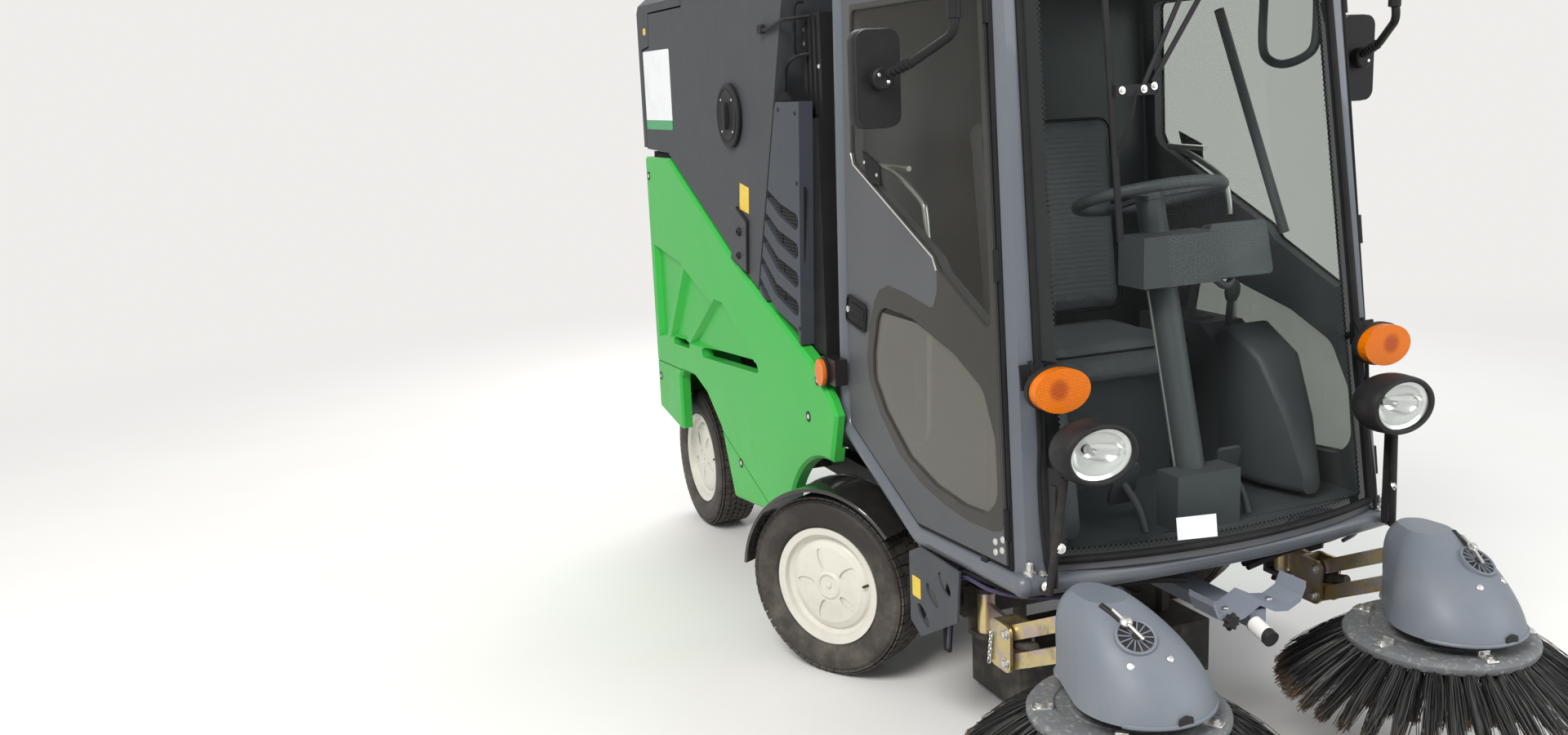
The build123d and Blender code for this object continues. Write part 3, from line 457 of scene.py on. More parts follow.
# Rows of blocks: distance from the middle, count, length, width, height, radius, slant, tilt over the shoulder
TREAD = (
    (0, 54, 27, 17, 7.4, 256.8, 10, 0), (23, 54, 26.5, 19, 7.4, 256.8, -12, 0), (46, 60, 24, 19, 7, 256.8, 6, 0),
    (60.5, 60, 24, 12, 5, 254.2, 3, 30), (68.5, 60, 23.5, 8, 2.6, 247.8, 0, 52),
)
rubber = moulded("tyre_rubber", (0.017, 0.0145, 0.0135), 0.6, "tyre", 300, 0.0004, 0.22, 0.6)
blocks = Pattern("tread_block", Rise=1.0)
block = blocks.node("GeometryNodeMeshCube", inputs={"Size": blocks.vector(blocks.given["Rise"], 1.0, 1.0)})
blocks.set_on_places(block)
for name, centre, outward in wheels():
    casing = Shape().turned(centre, outward, [*CASING, *[(r, -d) for r, d in CASING[:0:-1]]], 72, loop=True)
    fitted(f"casing_{name}", casing, f"wheel_{name}", rubber, (f"tyre_{name}",))
    spots = []
    for row, count, length, width, height, radius, slant, tilt in TREAD:
        for sign in (-1, 1) if row else (1,):
            for radial in spokes(count, UP, outward.cross(UP), 0.25 * sign):
                lay = basis(radial, outward.cross(radial)) @ Matrix.Rotation(math.radians(sign * tilt), 3, "Y")
                lay = lay @ Matrix.Rotation(math.radians(sign * slant), 3, "X")
                place = centre + (radial * radius + outward * row * sign) / 1000
                spots.append((place, lay.to_quaternion(), Vector((height, length, width)) / 1000))
    blocks.place(f"tread_{name}", spots, f"wheel_{name}", rubber, crease=20)

# ---- Rims ----
# Steel wheels in cream paint, with five petals pressed into the disc, a hub ring with a dimple, and a rubber
# valve that stands in the disc.
cream = moulded("cream_paint", (0.66, 0.64, 0.57), 0.35, "cream_paint", 400, 0.0001, 0.3, 0.6, Coat_Weight=0.15)
HUB_RING = ((29, 53), (30, 57), (34, 58.6), (39, 57.4), (43, 53))
HUB_DIMPLE = ((0, 53), (9, 53), (8, 56.5), (4, 58), (0, 58.2))
VALVE_R, VALVE_RISE = 0.128, 0.16
for name, centre, outward in wheels():
    cream.dress(f"rim_{name}")
    hub = Shape().turned(centre, outward, HUB_RING, 40, loop=True).turned(centre, outward, HUB_DIMPLE, 20)
    fitted(f"hub_{name}", hub, f"wheel_{name}", cream)
    forward = outward.cross(UP)
    spoke = (forward * math.copysign(1, forward.x) + UP * VALVE_RISE).normalized()
    root = centre + spoke * VALVE_R + outward * 0.034
    stem = Shape().tube([root, root + outward * 0.012, root + outward * 0.026 - spoke * 0.004], 3.6, 10)
    fitted(f"valve_{name}", stem, f"wheel_{name}", rubber)

# ---- Fenders ----
# Thin rolled strips in glossy black with a bead along each edge. Stays hold them to the knuckles, so they
# turn with the front wheels.
FENDER_R, FENDER_SPAN, FENDER_STARTS = 0.2845, 135, {"front_right": 40, "front_left": 5}
gloss_black = moulded(
    "fender_gloss", (0.012, 0.012, 0.013), 0.2, "gloss_black", 300, 0.0001, 0.22, 0.7, Coat_Weight=0.7
)
gloss_black.dress("fender_right", "fender_left")
for name, centre, outward in wheels():
    if name in FENDER_STARTS:
        hand, forward, edges = name.split("_")[1], outward.cross(UP), Shape()
        turns = [math.radians(FENDER_STARTS[name] + FENDER_SPAN * i / 24) for i in range(25)]
        for inward in (-85, 77):
            middle = centre + outward * inward / 1000
            arc = [middle + (UP * math.sin(turn) - forward * math.cos(turn)) * FENDER_R for turn in turns]
            edges.tube(arc, 4.2, 8, steps=1)
        fitted(f"fender_edges_{hand}", edges, f"knuckle_{hand}", gloss_black)


# ---- Side panels ----
# Each flank is one moulding in glossy green plastic, held to the frame by quarter-turn screws in black cups.
# Rain spots and paving dust dull its lower edge.
def fastener(name, stack):
    """A screw or bolt head of unit radius, stacked from cones: sides, radius below, radius above, height."""
    tree = Pattern(name, Height=1.0)
    parts, base = [], 0.0
    for sides, below, above, height in stack:
        sizes = {"Vertices": sides, "Radius Top": above, "Radius Bottom": below, "Depth": height}
        cone = tree.node("GeometryNodeMeshCone", inputs=sizes)
        parts.append(tree.node("GeometryNodeTransform", inputs={0: cone, "Translation": (0, 0, base)}))
        base += height
    head = tree.node("GeometryNodeJoinGeometry", inputs={0: parts})
    tall = tree.vector(1.0, 1.0, tree.given["Height"])
    return tree.set_on_places(tree.node("GeometryNodeTransform", inputs={0: head, "Scale": tall}))


def facing(place, direction, radius):
    """A spot for a head of this radius in millimetres that looks along the direction."""
    return place, Vector(direction).to_track_quat("Z", "Y"), (radius / 1000,) * 3


def both_sides(points, direction, radius):
    """Spots on the right side and their mirror images on the left."""
    a, b, c = direction
    return [facing(at(x, y * sign, z), (a, b * sign, c), radius) for x, y, z in points for sign in (1, -1)]


green = moulded(
    "green_moulding", (0.030, 0.40, 0.052), 0.3, "green_panel", 500, 0.00003, 0.10, 1.1,
    Coat_Weight=0.08, Specular_IOR_Level=0.14,
)
green.dress("side_panel_right", "side_panel_left", "rear_panel")
black = moulded("black_moulding", (0.012, 0.012, 0.0135), 0.5, "black_plastic", 900, 0.0003, 0.10, 1.2, **DEEP)
bright = moulded("bright_zinc", (0.62, 0.62, 0.6), 0.3, "zinc_plate", 400, 0.0001, 0.15, 0.8, Metallic=0.9)
dome_screw = fastener("dome_screw", ((16, 1.0, 0.96, 0.12), (16, 0.96, 0.72, 0.22), (16, 0.72, 0.0, 0.12)))
hex_bolt = fastener("hex_bolt", ((18, 1.45, 1.4, 0.22), (6, 1.0, 1.0, 0.55), (6, 1.0, 0.8, 0.12)))
PANEL_SCREWS = ((-190, -575, 1338), (-190, -575, 560), (1308, -575, 708), (1385, -575, 830), (700, -575, 420))
CUP = ((9, -1), (9, 1.2), (13, 1.8), (16, 1.2), (17, -1))
cups = Shape()
for sign in (1, -1):
    for spot in places(PANEL_SCREWS, sign):
        cups.turned(spot, LEFT * -sign, CUP, 28, loop=True)
fitted("panel_cups", cups, "machine", black)
dome_screw.place("panel_screws", both_sides(PANEL_SCREWS, (0, -1, 0), 8.5), "machine", bright)

# ---- Rear ----
# The green tail panel with its air slots, ribbed lamp clusters in black frames, a bare number-plate holder
# and the screws round its edge.
LAMP_Y, LAMP_Z, TURN_LENS_Z = 440, 900, 0.95
red = Finish("red_lens", (0.55, 0.012, 0.012), 0.16, "red_lens", Coat_Weight=0.8)
red.bump(red.node("ShaderNodeTexWave", inputs={"Vector": red.place, "Scale": 60.0}), 0.001)
deep_red = red.mix((0.42, 0.008, 0.008), (0.62, 0.02, 0.015), red.noise(8))
turn_lens = red.band(red.axis("Z"), TURN_LENS_Z - 0.002, TURN_LENS_Z + 0.002)
red.feed("Base Color", red.mix(deep_red, (0.85, 0.25, 0.01), turn_lens)).dress("rear_lamps")


def rounded(across, up, half_width, half_height, radius, steps=5):
    """Corners of a rounded rectangle as (across, up) pairs."""
    ring = []
    for corner, (sx, sy) in enumerate(((1, 1), (-1, 1), (-1, -1), (1, -1))):
        middle = (across + sx * (half_width - radius), up + sy * (half_height - radius))
        for i in range(steps + 1):
            turn = math.pi / 2 * (corner + i / steps)
            ring.append((middle[0] + radius * math.cos(turn), middle[1] + radius * math.sin(turn)))
    return ring


frames = Shape()
for y in (-LAMP_Y, LAMP_Y):
    outer, inner = rounded(y, LAMP_Z, 62, 127, 28), rounded(y, LAMP_Z, 51, 116, 21)
    frames.skin([head_on(*row) for row in ((outer, -225), (outer, -252), (inner, -252), (inner, -225))], loop=True)
for y in (-155.2, 155.2):
    frames.plate(head_on(rounded(y, 680, 5, 60, 3), -233), AHEAD * -0.006)
fitted("tail_frames", frames, "machine", black)
TAIL_SCREWS = [(-225, y, z) for y in (-500, -180, 180, 500) for z in (560, 1330)]
dome_screw.place("tail_screws", [facing(spot, -AHEAD, 8) for spot in places(TAIL_SCREWS)], "machine", bright)

# ---- Louvre panels ----
# Slate-grey mouldings with five bent air slots each. A screen of woven wire lies behind the slots,
# and behind that the radiator's air duct as a near-black plate, its darkness a painted shade.
slate = moulded("slate_moulding", (0.048, 0.055, 0.068), 0.5, "blue_grey_panel", 800, 0.0003, 0.12, 1.2, **DEEP)
slate.dress("louvre_panels", "cab_roof", "step_plates")
LOUVRE = ((955, 1036), (1144, 1590), (1312, 1595), (1256, 925))
SHELF = ((1148, 1634), (1236, 1633), (1268, 1609), (1148, 1609))
REAR_SEAL = ((-150, 1406), (63, 1404), (63, 1426), (-150, 1432))
WIRE_R, WIRE_STEP, SCREEN_Y, SCREEN_TOP, DUCT_Y = 0.0007, 10, 564, 1362, 556


def span_of(outline, axis, value):
    """The stretch of a straight line that lies inside an outline."""
    hits = []
    for a, b in zip(outline, outline[1:] + outline[:1]):
        if (a[axis] - value) * (b[axis] - value) < 0:
            t = (value - a[axis]) / (b[axis] - a[axis])
            hits.append(a[1 - axis] + t * (b[1 - axis] - a[1 - axis]))
    return min(hits), max(hits)


screen = Pattern("screen_wire", Sides=4)
wire_size = {"Vertices": screen.given["Sides"], "Radius": 1.0, "Depth": 1.0}
screen.set_on_places(screen.node("GeometryNodeMeshCylinder", inputs=wire_size))
wires = []
for y in (-SCREEN_Y, SCREEN_Y):
    for x in range(964, 1256, WIRE_STEP):
        low, high = span_of(LOUVRE, 0, x)
        high = min(high, SCREEN_TOP)
        if high > low:
            wires.append((at(x, y, (low + high) / 2), (1, 0, 0, 0), (WIRE_R, WIRE_R, (high - low) / 1000)))
    for z in range(936, SCREEN_TOP, WIRE_STEP):
        low, high = span_of(LOUVRE, 1, z)
        lay = AHEAD.to_track_quat("Z", "Y")
        wires.append((at((low + high) / 2, y, z), lay, (WIRE_R, WIRE_R, (high - low) / 1000)))
screen.place("louvre_screens", wires, "machine", cast_iron)
ducts = Shape()
for sign in (-1, 1):
    ducts.side_plate([(x, min(z, 1370)) for x, z in LOUVRE], sign * DUCT_Y, sign * 3, 2)
    ducts.side_plate(SHELF, sign * DUCT_Y, sign * 14, 2)
    ducts.side_plate(REAR_SEAL, sign * 545, sign * 15, 1)
# Near black and free of dust: painted shade for the dark inside of the duct. The shelf and rear seal plates share it.
duct_black = moulded("duct_black", (0.004, 0.004, 0.004), 0.8, "black_plastic", 300, 0.0004, 0.0, 1.2, **DEEP)
fitted("air_ducts", ducts, "machine", duct_black)
LOUVRE_SCREWS = ((1290, -572, 1575), (1165, -572, 1585), (1262, -572, 960), (1284, -572, 1380))
dome_screw.place("louvre_screws", both_sides(LOUVRE_SCREWS, (0, -1, 0), 6.5), "machine", black)

# ---- Cooling housing ----
# Black plastic housing between hopper and cab, with a tall column on each side. Bent wire grips stand in the
# bay in front of the hopper, and white-zinc screws hold the columns.
black.dress("cooling_housing", "wiper")
GRIPS = (
    ((1290, -514, 1838), (1272, -560, 1834), (1240, -580, 1830), (1124, -581, 1812), (1080, -581, 1816)),
    (
        (1285, -514, 1736), (1262, -546, 1731), (1184, -548, 1706), (1166, -548, 1640), (1160, -548, 1560),
        (1180, -546, 1536), (1262, -544, 1514), (1275, -528, 1512),
    ),
    ((1246, -514, 1880), (1243, -540, 1872), (1240, -543, 1800), (1232, -540, 1745), (1236, -514, 1738)),
)
grips = Shape()
for grip in GRIPS:
    for sign in (1, -1):
        grips.tube(places(grip, sign), 5.5, 10, 5)
for sign in (-1, 1):
    grips.side_plate(rounded(1080, 1815, 17, 13, 5), sign * 576, sign * 12, 2)
    for x in (1262, 1294, 1326):
        grips.side_plate(((x - 5, 1570), (x + 5, 1570), (x + 5, 1835), (x - 5, 1835)), sign * 515, sign * 5, 1.5)
    for z in range(1580, 1790, 24):
        rail = ((sign * 90, z), (sign * 430, z), (sign * 430, z + 10), (sign * 90, z + 10))
        grips.plate(head_on(rail, 1340), AHEAD * 0.006, 1.5)
fitted("housing_grips", grips, "machine", black)
HOUSING_SCREWS = ((1248, -515, 1803), (1246, -515, 1765), (1220, -530, 1495), (1340, -515, 1700))
dome_screw.place("housing_screws", both_sides(HOUSING_SCREWS, (0, -1, 0), 7), "machine", bright)

# ---- Hopper ----
# The waste hopper and its rear door are rotation-moulded in charcoal plastic with a fine leather grain.
# Each flank has a screwed inspection cap with a bar grip; the rear door hangs on three barrels at the roof.
charcoal = moulded(
    "charcoal_moulding", (0.052, 0.055, 0.062), 0.52, "dark_grey_moulding", 700, 0.0004, 0.10, 1.6, **DEEP
)
charcoal.dress("hopper_shell", "hopper_door")
CAP_X, CAP_Z, CAP_SCREW_R = 762, 1567, 69.5
CAP = (
    (0, -1), (101, -1), (101, 5), (97, 9), (88, 9), (85, 6), (80, 6), (77, 9.5), (62, 9.5), (59, 8.6), (46, 8.6),
    (44, 11), (38, 11), (36, 8.6), (0, 8.6),
)
LATCH_PLATE = ((782, 1284), (876, 1243), (856, 1076), (712, 1112))
PULL = ((-238, -60), (-250, -52), (-251, 0), (-250, 52), (-238, 60))
caps, faces, cap_screws = Shape(), Shape(), []
for sign in (-1, 1):
    out = LEFT * sign
    caps.turned(at(CAP_X, sign * 577, CAP_Z), out, CAP, 64)
    caps.side_plate(rounded(CAP_X, CAP_Z, 12, 42, 10), sign * 585, sign * 14, 4)
    for spoke in spokes(4, AHEAD, UP, 0.5):
        cap_screws.append(facing(at(CAP_X, sign * 586.5, CAP_Z) + spoke * CAP_SCREW_R / 1000, out, 4))
    for x, z, half in ((812, 1206, 14), (800, 1130, 11)):
        knob = ((half, 0), (half, 5), (half * 0.8, 9), (half * 0.55, 10), (half * 0.5, 7), (0, 6))
        caps.turned(at(x, sign * 580, z), out, knob, 24)
    caps.side_plate(LATCH_PLATE, sign * 569, sign * 10, 1)
    inset = [Vector(corner).lerp(Vector((807, 1179)), 0.07) for corner in LATCH_PLATE]
    faces.side_plate(inset, sign * 579, sign * 1.6, 0.5)
fitted("hopper_caps", caps, "hopper", black)
fitted("latch_faces", faces, "hopper", charcoal)
dome_screw.place("cap_screws", cap_screws, "hopper", bright)
barrels = Shape()
for y in (-420, 0, 420):
    barrels.tube([at(300, y - 45, 1992), at(300, y + 45, 1992)], 9, 16, 1)
    barrels.plate([at(a, b, 1987) for a, b in rounded(330, y, 30, 40, 8)], UP * 0.005, 1)
fitted("hopper_hinges", barrels, "hopper", chassis_black)
pulls = Shape()
for y in (-300, 300):
    pulls.tube([at(x, y + a, 1560) for x, a in PULL], 5, 12, 6)
    pulls.plate(head_on(rounded(y, 1475, 24, 18, 6), -239), AHEAD * -0.012, 2)
fitted("hopper_pulls", pulls, "hopper_door", chassis_black)

# ---- Blank signs ----
# A bare white vinyl sheet with a green foot, small bare yellow labels and a bare white sticker on the
# windscreen. They carry no words.
YELLOW_LABELS = (((809, 1359), (888, 1347), (877, 1266), (797, 1276)), rounded(-150, 1870, 16, 12, 5))
GREEN_FOOT_Z, ABOVE_STICKER_Z = 1.548, 1.2
sheet_white = Finish("white_vinyl", (0.78, 0.79, 0.80), 0.4)
weather = sheet_white.band(sheet_white.noise(14, 5), 0.45, 0.8)
paper = sheet_white.mix((0.80, 0.81, 0.82), (0.66, 0.67, 0.67), weather * 0.5)
foot = (sheet_white.axis("Z") < GREEN_FOOT_Z) * (sheet_white.axis("Z") > ABOVE_STICKER_Z)
sheet_white.feed("Base Color", sheet_white.mix(paper, (0.03, 0.30, 0.10), foot))
sheet_white.bump(sheet_white.noise(40, 2), 0.0003)
yellow = Finish("yellow_vinyl", (0.78, 0.55, 0.03), 0.4)
yellow.feed("Base Color", yellow.mix((0.80, 0.57, 0.03), (0.62, 0.43, 0.04), yellow.noise(60, 4)))
yellow.bump(yellow.noise(80, 2), 0.0002)
signs, labels, step_labels = Shape(), Shape(), Shape()
for sign in (-1, 1):
    signs.side_plate(rounded(-22, 1656, 160, 142, 8), sign * 570, sign * 1.2, 0.5)
    for label in YELLOW_LABELS:
        labels.side_plate(label, sign * 570, sign, 0.4)
    step_labels.side_plate(rounded(1942, 394, 22, 27, 4), sign * 559, sign, 0.4)
fitted("blank_signs", signs, "hopper", sheet_white)
fitted("hopper_labels", labels, "hopper", yellow)
fitted("step_labels", step_labels, "machine", yellow)

# ---- Cab frame ----
# Hoops and bumper are one welded tube frame in grey-blue paint. Bolts and worn bushings hold the posts,
# rubber beads seal the windscreen and the doors, and a cable climbs each post to its lamp.
tube_paint = moulded(
    "tube_paint", (0.098, 0.110, 0.130), 0.33, "grey_paint", 60, 0.0003, 0.12, 0.8, Coat_Weight=0.2
)
tube_paint.dress("cab_frame")
LEAN, SILL_Y, SILL_Z = math.radians(1.7), 520, 540
DOOR_GAP = ((1460, 1349), (1500, 186), (1908, 5), (2353, 28), (2210, 1349))
SCREEN_FOOT_Z, SCREEN_HEAD_Z, SCREEN_BOW, SCREEN_HALF, SCREEN_TAPER = 585, 1892, 75, 459, 40
LAMP_CABLE = (
    (2410, 470, 566), (2398, 474, 640), (2378, 470, 760), (2372, 466, 880), (2356, 470, 1000), (2342, 470, 1036),
)
CABLE_BRACKET = ((2346, 440, 1030), (2344, 500, 1030), (2352, 500, 975), (2360, 455, 975))
BUSHING = ((0, 0), (15, 0), (15, 12), (11, 15), (8, 15), (8, 30), (6, 33), (0, 33))
POST_BOLTS = ((2405, -478, 566), (2380, -500, 566))


def on_cab_side(points, out, sign):
    """Places on the cab's leaning flank: (forward, up from the sill) pairs, moved outwards; -1 is the right."""
    c, s = math.cos(LEAN), math.sin(LEAN)
    return [at(x, sign * (SILL_Y - up * s + out * c), SILL_Z + up * c + out * s) for x, up in points]


def screen_edge(height, across):
    """A place on the glass: across runs from -1 at its right edge to 1 at its left."""
    t = (height - SCREEN_FOOT_Z) / (SCREEN_HEAD_Z - SCREEN_FOOT_Z)
    half = SCREEN_HALF - SCREEN_TAPER * t
    return at(2401 - 173 * t + SCREEN_BOW * (1 - across**2), across * half, height)


WIDTHS = [a / 12 for a in range(-12, 13)]
seals = Shape()
for sign in (-1, 1):
    seals.tube(on_cab_side(DOOR_GAP, 6, sign), 6, 8, 1, closed=True)
    side = [screen_edge(z, sign * 1.012) + AHEAD * 0.002 for z in range(590, SCREEN_HEAD_Z, 100)]
    seals.tube(side, 10, 10, 1)
seals.tube([screen_edge(590, a) + AHEAD * 0.002 for a in WIDTHS], 9, 10, 1)
seals.tube([screen_edge(1886, a) for a in WIDTHS], 9, 10, 1)
seal_rubber = moulded("seal_rubber", (0.008, 0.008, 0.009), 0.6, "black_plastic", 500, 0.0003, 0.05, 0.8, **DEEP)
fitted("cab_seals", seals, "machine", seal_rubber)
straps, bushings, brow = Shape(), Shape(), Shape()
for sign in (-1, 1):
    straps.tube(places(LAMP_CABLE, sign), 5, 8, 6)
    straps.plate(places(CABLE_BRACKET, sign), AHEAD * 0.006, 1)
    bushings.turned(at(2392, sign * 505, 560), UP, BUSHING, 20)
    brow.tube(places(((1380, 506, 1900), (1380, 500, 1948), (1400, 492, 1962)), sign), 5, 8, 5)
brow.tube([at(2262 + 76 * (1 - a**2), 490 * a, 1897) for a in WIDTHS], 5, 8, 1)
fitted("lamp_cables", straps, "machine", seal_rubber)
fitted("post_bushings", bushings, "machine", bright)
hex_bolt.place("post_bolts", both_sides(POST_BOLTS, (0.2, -0.1, 1), 8), "machine", bright)
fitted("roof_trim", brow, "machine", seal_rubber)

# ---- Seat ----
# A foam seat and a raked backrest in dark woven cloth, on a black frame. Piping is sewn round their edges.
# The foam swells the cloth a little.
PAD_REACH, BACK_FOOT, BACK_RAKE = 0.012, 1000, 0.13
seat_cloth = Finish("seat_cloth", (0.03, 0.03, 0.034), 0.85, "seat_fabric")
weave = [
    seat_cloth.node("ShaderNodeTexWave", {"bands_direction": way}, {"Vector": seat_cloth.place, "Scale": 180.0})
    for way in "XZ"
]
seat_cloth.feed("Base Color", seat_cloth.mix((0.11, 0.11, 0.12), (0.19, 0.19, 0.205), seat_cloth.noise(160, 3)))
seat_cloth.bump(weave[0] * weave[1], 0.0006)


def pad(name, rings, stands_for=()):
    """A stuffed cushion: remeshed, blown up a little as cloth, then smoothed."""
    soft = fitted(name, Shape().skin(rings), "machine", seat_cloth, stands_for)
    crowd = soft.modifiers.new("even", "REMESH")
    crowd.mode, crowd.voxel_size = "VOXEL", 0.0065
    even = applied(soft)
    soft.modifiers.clear()
    even.name = name
    soft.data = even
    blown = in_scene(name + "_blown", even.copy())
    cloth = blown.modifiers.new("cloth", "CLOTH")
    cloth.settings.use_pressure = True
    cloth.settings.uniform_pressure_force = 4.0
    cloth.settings.effector_weights.gravity = 0.0
    for frame_number in range(1, 21):
        scene.frame_set(frame_number)
    for vertex, grown in zip(even.vertices, applied(blown).vertices):
        move = grown.co - vertex.co
        if move.length > PAD_REACH:
            move *= PAD_REACH / move.length
        vertex.co += move
    bpy.data.objects.remove(blown)
    scene.frame_set(1)
    even.shade_smooth()
    seat_cloth.dress(soft)
    return soft


def cushion_rings(x_low, x_high, half, z_low, z_high, round_over=26):
    """A block with rounded corners, in rings from its foot to its crown."""
    rings = []
    for lift, inset in ((0, 0.6), (0.2, 0), (0.75, 0), (0.93, 0.35), (1, 1)):
        grow = round_over * inset * 0.6
        outline = rounded((x_low + x_high) / 2, 0, (x_high - x_low) / 2 - grow, half - grow, round_over + 10, 6)
        rings.append([(x, y, z_low + (z_high - z_low) * lift) for x, y in outline])
    return rings


def backrest(height, y, out):
    """A place on the raked backrest."""
    return at(1660 - (height - BACK_FOOT) * BACK_RAKE + out, y, height)


pad("seat_base", [places(ring) for ring in cushion_rings(1664, 2046, 216, 884, 964)], ("seat_cushions",))
pad("seat_back", [[backrest(*p) for p in ring] for ring in cushion_rings(BACK_FOOT, 1540, 208, 0, 84)])
piping = Shape()
piping.tube([at(x, y, 958) for x, y in rounded(1855, 0, 186, 212, 34, 6)], 3.2, 8, 1, closed=True)
piping.tube([backrest(x, y, 85) for x, y in rounded(1270, 0, 258, 198, 34, 6)], 3.2, 8, 1, closed=True)
fitted("seat_piping", piping, "machine", black)

# ---- Cab interior ----
# Black moulded consoles with joysticks and keys, two pedals, a hooked grab rail beside the left door, a
# divider bar, and a screen on a stalk. The steering column has bright edges.
cab_black = moulded("cab_black", (0.085, 0.087, 0.094), 0.45, "black_plastic", 700, 0.0003, 0.05, 1.2)
cab_black.dress("control_console", "steering_wheel", "seat_frame", "cab_tub")
DIVIDER = ((1844, 428, 1800), (1965, 440, 1512), (2087, 452, 1226))
GRAB_RAIL = (
    (2044, 405, 1830), (2046, 402, 1700), (2078, 400, 1660), (2140, 400, 1652), (2215, 400, 1676),
    (2232, 402, 1720), (2228, 405, 1830),
)
STICK = ((1985, 360, 930), (1992, 360, 1010), (2002, 358, 1062))
STICK_HEAD = ((0, -22), (15, -18), (20, 0), (19, 22), (12, 36), (0, 40))
STICK_BOOT = ((0, -20), (34, -18), (30, 4), (16, 22), (0, 26))
# The humps beside the column: place forward, half width, height of the top
HUMP = ((1980, 46, 960), (2080, 70, 1000), (2190, 66, 940), (2270, 44, 800), (2320, 26, 660))
COLUMN_LEAN = math.tan(math.radians(15))
inside = Shape().tube(places(DIVIDER), 13, 12, 2, flat=0.6).tube(places(GRAB_RAIL), 11, 12, 6)
for sign in (-1, 1):
    inside.tube(places(STICK, sign), 9, 12, 4)
    inside.turned(at(2004, sign * 358, 1066), Vector((0.2, 0, 1)), STICK_HEAD, 20)
    inside.turned(at(1990, sign * 360, 958), Vector((0.3, 0, 1)), STICK_BOOT, 24)
    for x in range(1780, 1895, 38):
        inside.plate([at(a, sign * b, 986) for a, b in rounded(x, 360, 14, 22, 4)], UP * 0.006, 2)
for y in (-150, 150):
    pedal = [at(2235 + (z - 650) * 0.35, a, z) for a, z in rounded(y, 680, 34, 52, 10)]
    inside.plate(pedal, Vector((-0.012, 0, 0.005)), 3)
    inside.tube(places(((2245, y, 680), (2300, y, 640), (2330, y, 585))), 9, 10, 4)
screen_face = [at(2190 - (z - 1210) * 0.25, y, z) for y, z in rounded(205, 1210, 88, 66, 12)]
inside.plate(screen_face, Vector((0.03, 0, 0.006)), 4)
inside.tube(places(((2205, 205, 1180), (2220, 160, 1130), (2225, 90, 1180))), 10, 10, 5)
for sign in (-1, 1):
    inside.skin([
        head_on(rounded(sign * 352, (top + 600) / 2, half, (top - 600) / 2, 24), x) for x, half, top in HUMP
    ])
fitted("cab_fittings", inside, "machine", cab_black)
trim = Shape()
for y in (-30, 30):
    trim.tube([at(2160 + (1240 - z) * COLUMN_LEAN - 22, y, z) for z in (1130, 900, 640)], 4, 8, 1)
trim.turned(at(2128, 0, 1366), Vector((-COLUMN_LEAN, 0, 1)), ((0, -4), (24, -2), (22, 3), (14, 5), (0, 5)), 24)
fitted("column_trim", trim, "machine", bright)


# ---- Glass ----
# Flat safety glass in the doors, bowed glass in the windscreen with a fired black border that breaks up
# into dots at its inner edge.
SOLID_BORDER, DOTTED_BORDER, DOTS, LOW_COVER = 0.026, 0.052, 520.0, 0.52


def clear_pane(name, tint, veil, film=(0.03, 0.035, 0.035), border=False, covered_below=0):
    """Glass: see-through with a tint, with a mirror-like face and a thin veil of dust and dried drops."""
    finish = Finish(name, film, 0.04, "clear_glass", Specular_IOR_Level=0.4)
    through = finish.node("ShaderNodeBsdfTransparent", inputs={"Color": (*tint, 1)})
    cell = finish.node("ShaderNodeTexVoronoi", inputs={"Vector": finish.place, "Scale": 75.0})
    drops = finish.band(cell, 0.09, 0.05) * finish.band(finish.noise(6), 0.6, 0.8)
    dust = (finish.band(finish.noise(3, 4), 0.3, 0.8) * 0.5 + 0.7) * veil
    cover = finish.node("ShaderNodeFresnel", inputs={"IOR": 1.5}) + dust + drops * 0.05
    # Below this height the pane is half covered by its film colour, so it reads lighter and less clear
    if covered_below:
        cover = cover + (finish.axis("Z") < covered_below) * LOW_COVER
    # Only the pane's near face gleams, because light that leaves the glass isn't held back at its far face
    cover = cover * (1.0 - finish.node("ShaderNodeNewGeometry", output="Backfacing"))
    finish.feed("Base Color", finish.mix(film, (0.25, 0.24, 0.21), drops * 0.5))
    if border:
        high = finish.axis("Z")
        taper = SCREEN_TAPER / (SCREEN_HEAD_Z - SCREEN_FOOT_Z)
        edge = SCREEN_HALF / 1000 - (high - SCREEN_FOOT_Z / 1000) * taper - finish.beside()
        near = finish.maths("MINIMUM", edge, finish.maths("MINIMUM", high - 0.575, 1.885 - high))
        waves = [finish.maths("SINE", axis * DOTS) for axis in (finish.axis("Y"), high)]
        dots = finish.band(near, SOLID_BORDER, 0.050, 1.0, -0.6) + waves[0] * waves[1] * 0.5
        solid = finish.maths("MAXIMUM", near < SOLID_BORDER, (dots > 0.35) * (near < DOTTED_BORDER))
        cover = finish.maths("MAXIMUM", cover, solid)
    return finish.between(through, finish.face, finish.maths("MINIMUM", cover, 1.0))


clear_pane("screen_glass", (0.88, 0.91, 0.90), 0.04, (0.012, 0.014, 0.014), border=True).dress("windscreen")
clear_pane("lamp_glass", (0.97, 0.98, 0.98), 0.02).dress("lamp_lenses")
door_glass = clear_pane("door_glass", (0.80, 0.81, 0.79), 0.05, (0.150, 0.140, 0.122), covered_below=1.06)
door_glass.dress("door_glass_right", "door_glass_left")
STICKER = ((2459.2, -164, 660), (2467.2, -60, 656), (2474.2, -60, 604), (2466.2, -164, 609))
sticker = Shape().plate(places(STICKER), Vector((0.0008, -0.0001, 0.0001)), 0.3)
fitted("bare_sticker", sticker, "machine", sheet_white)

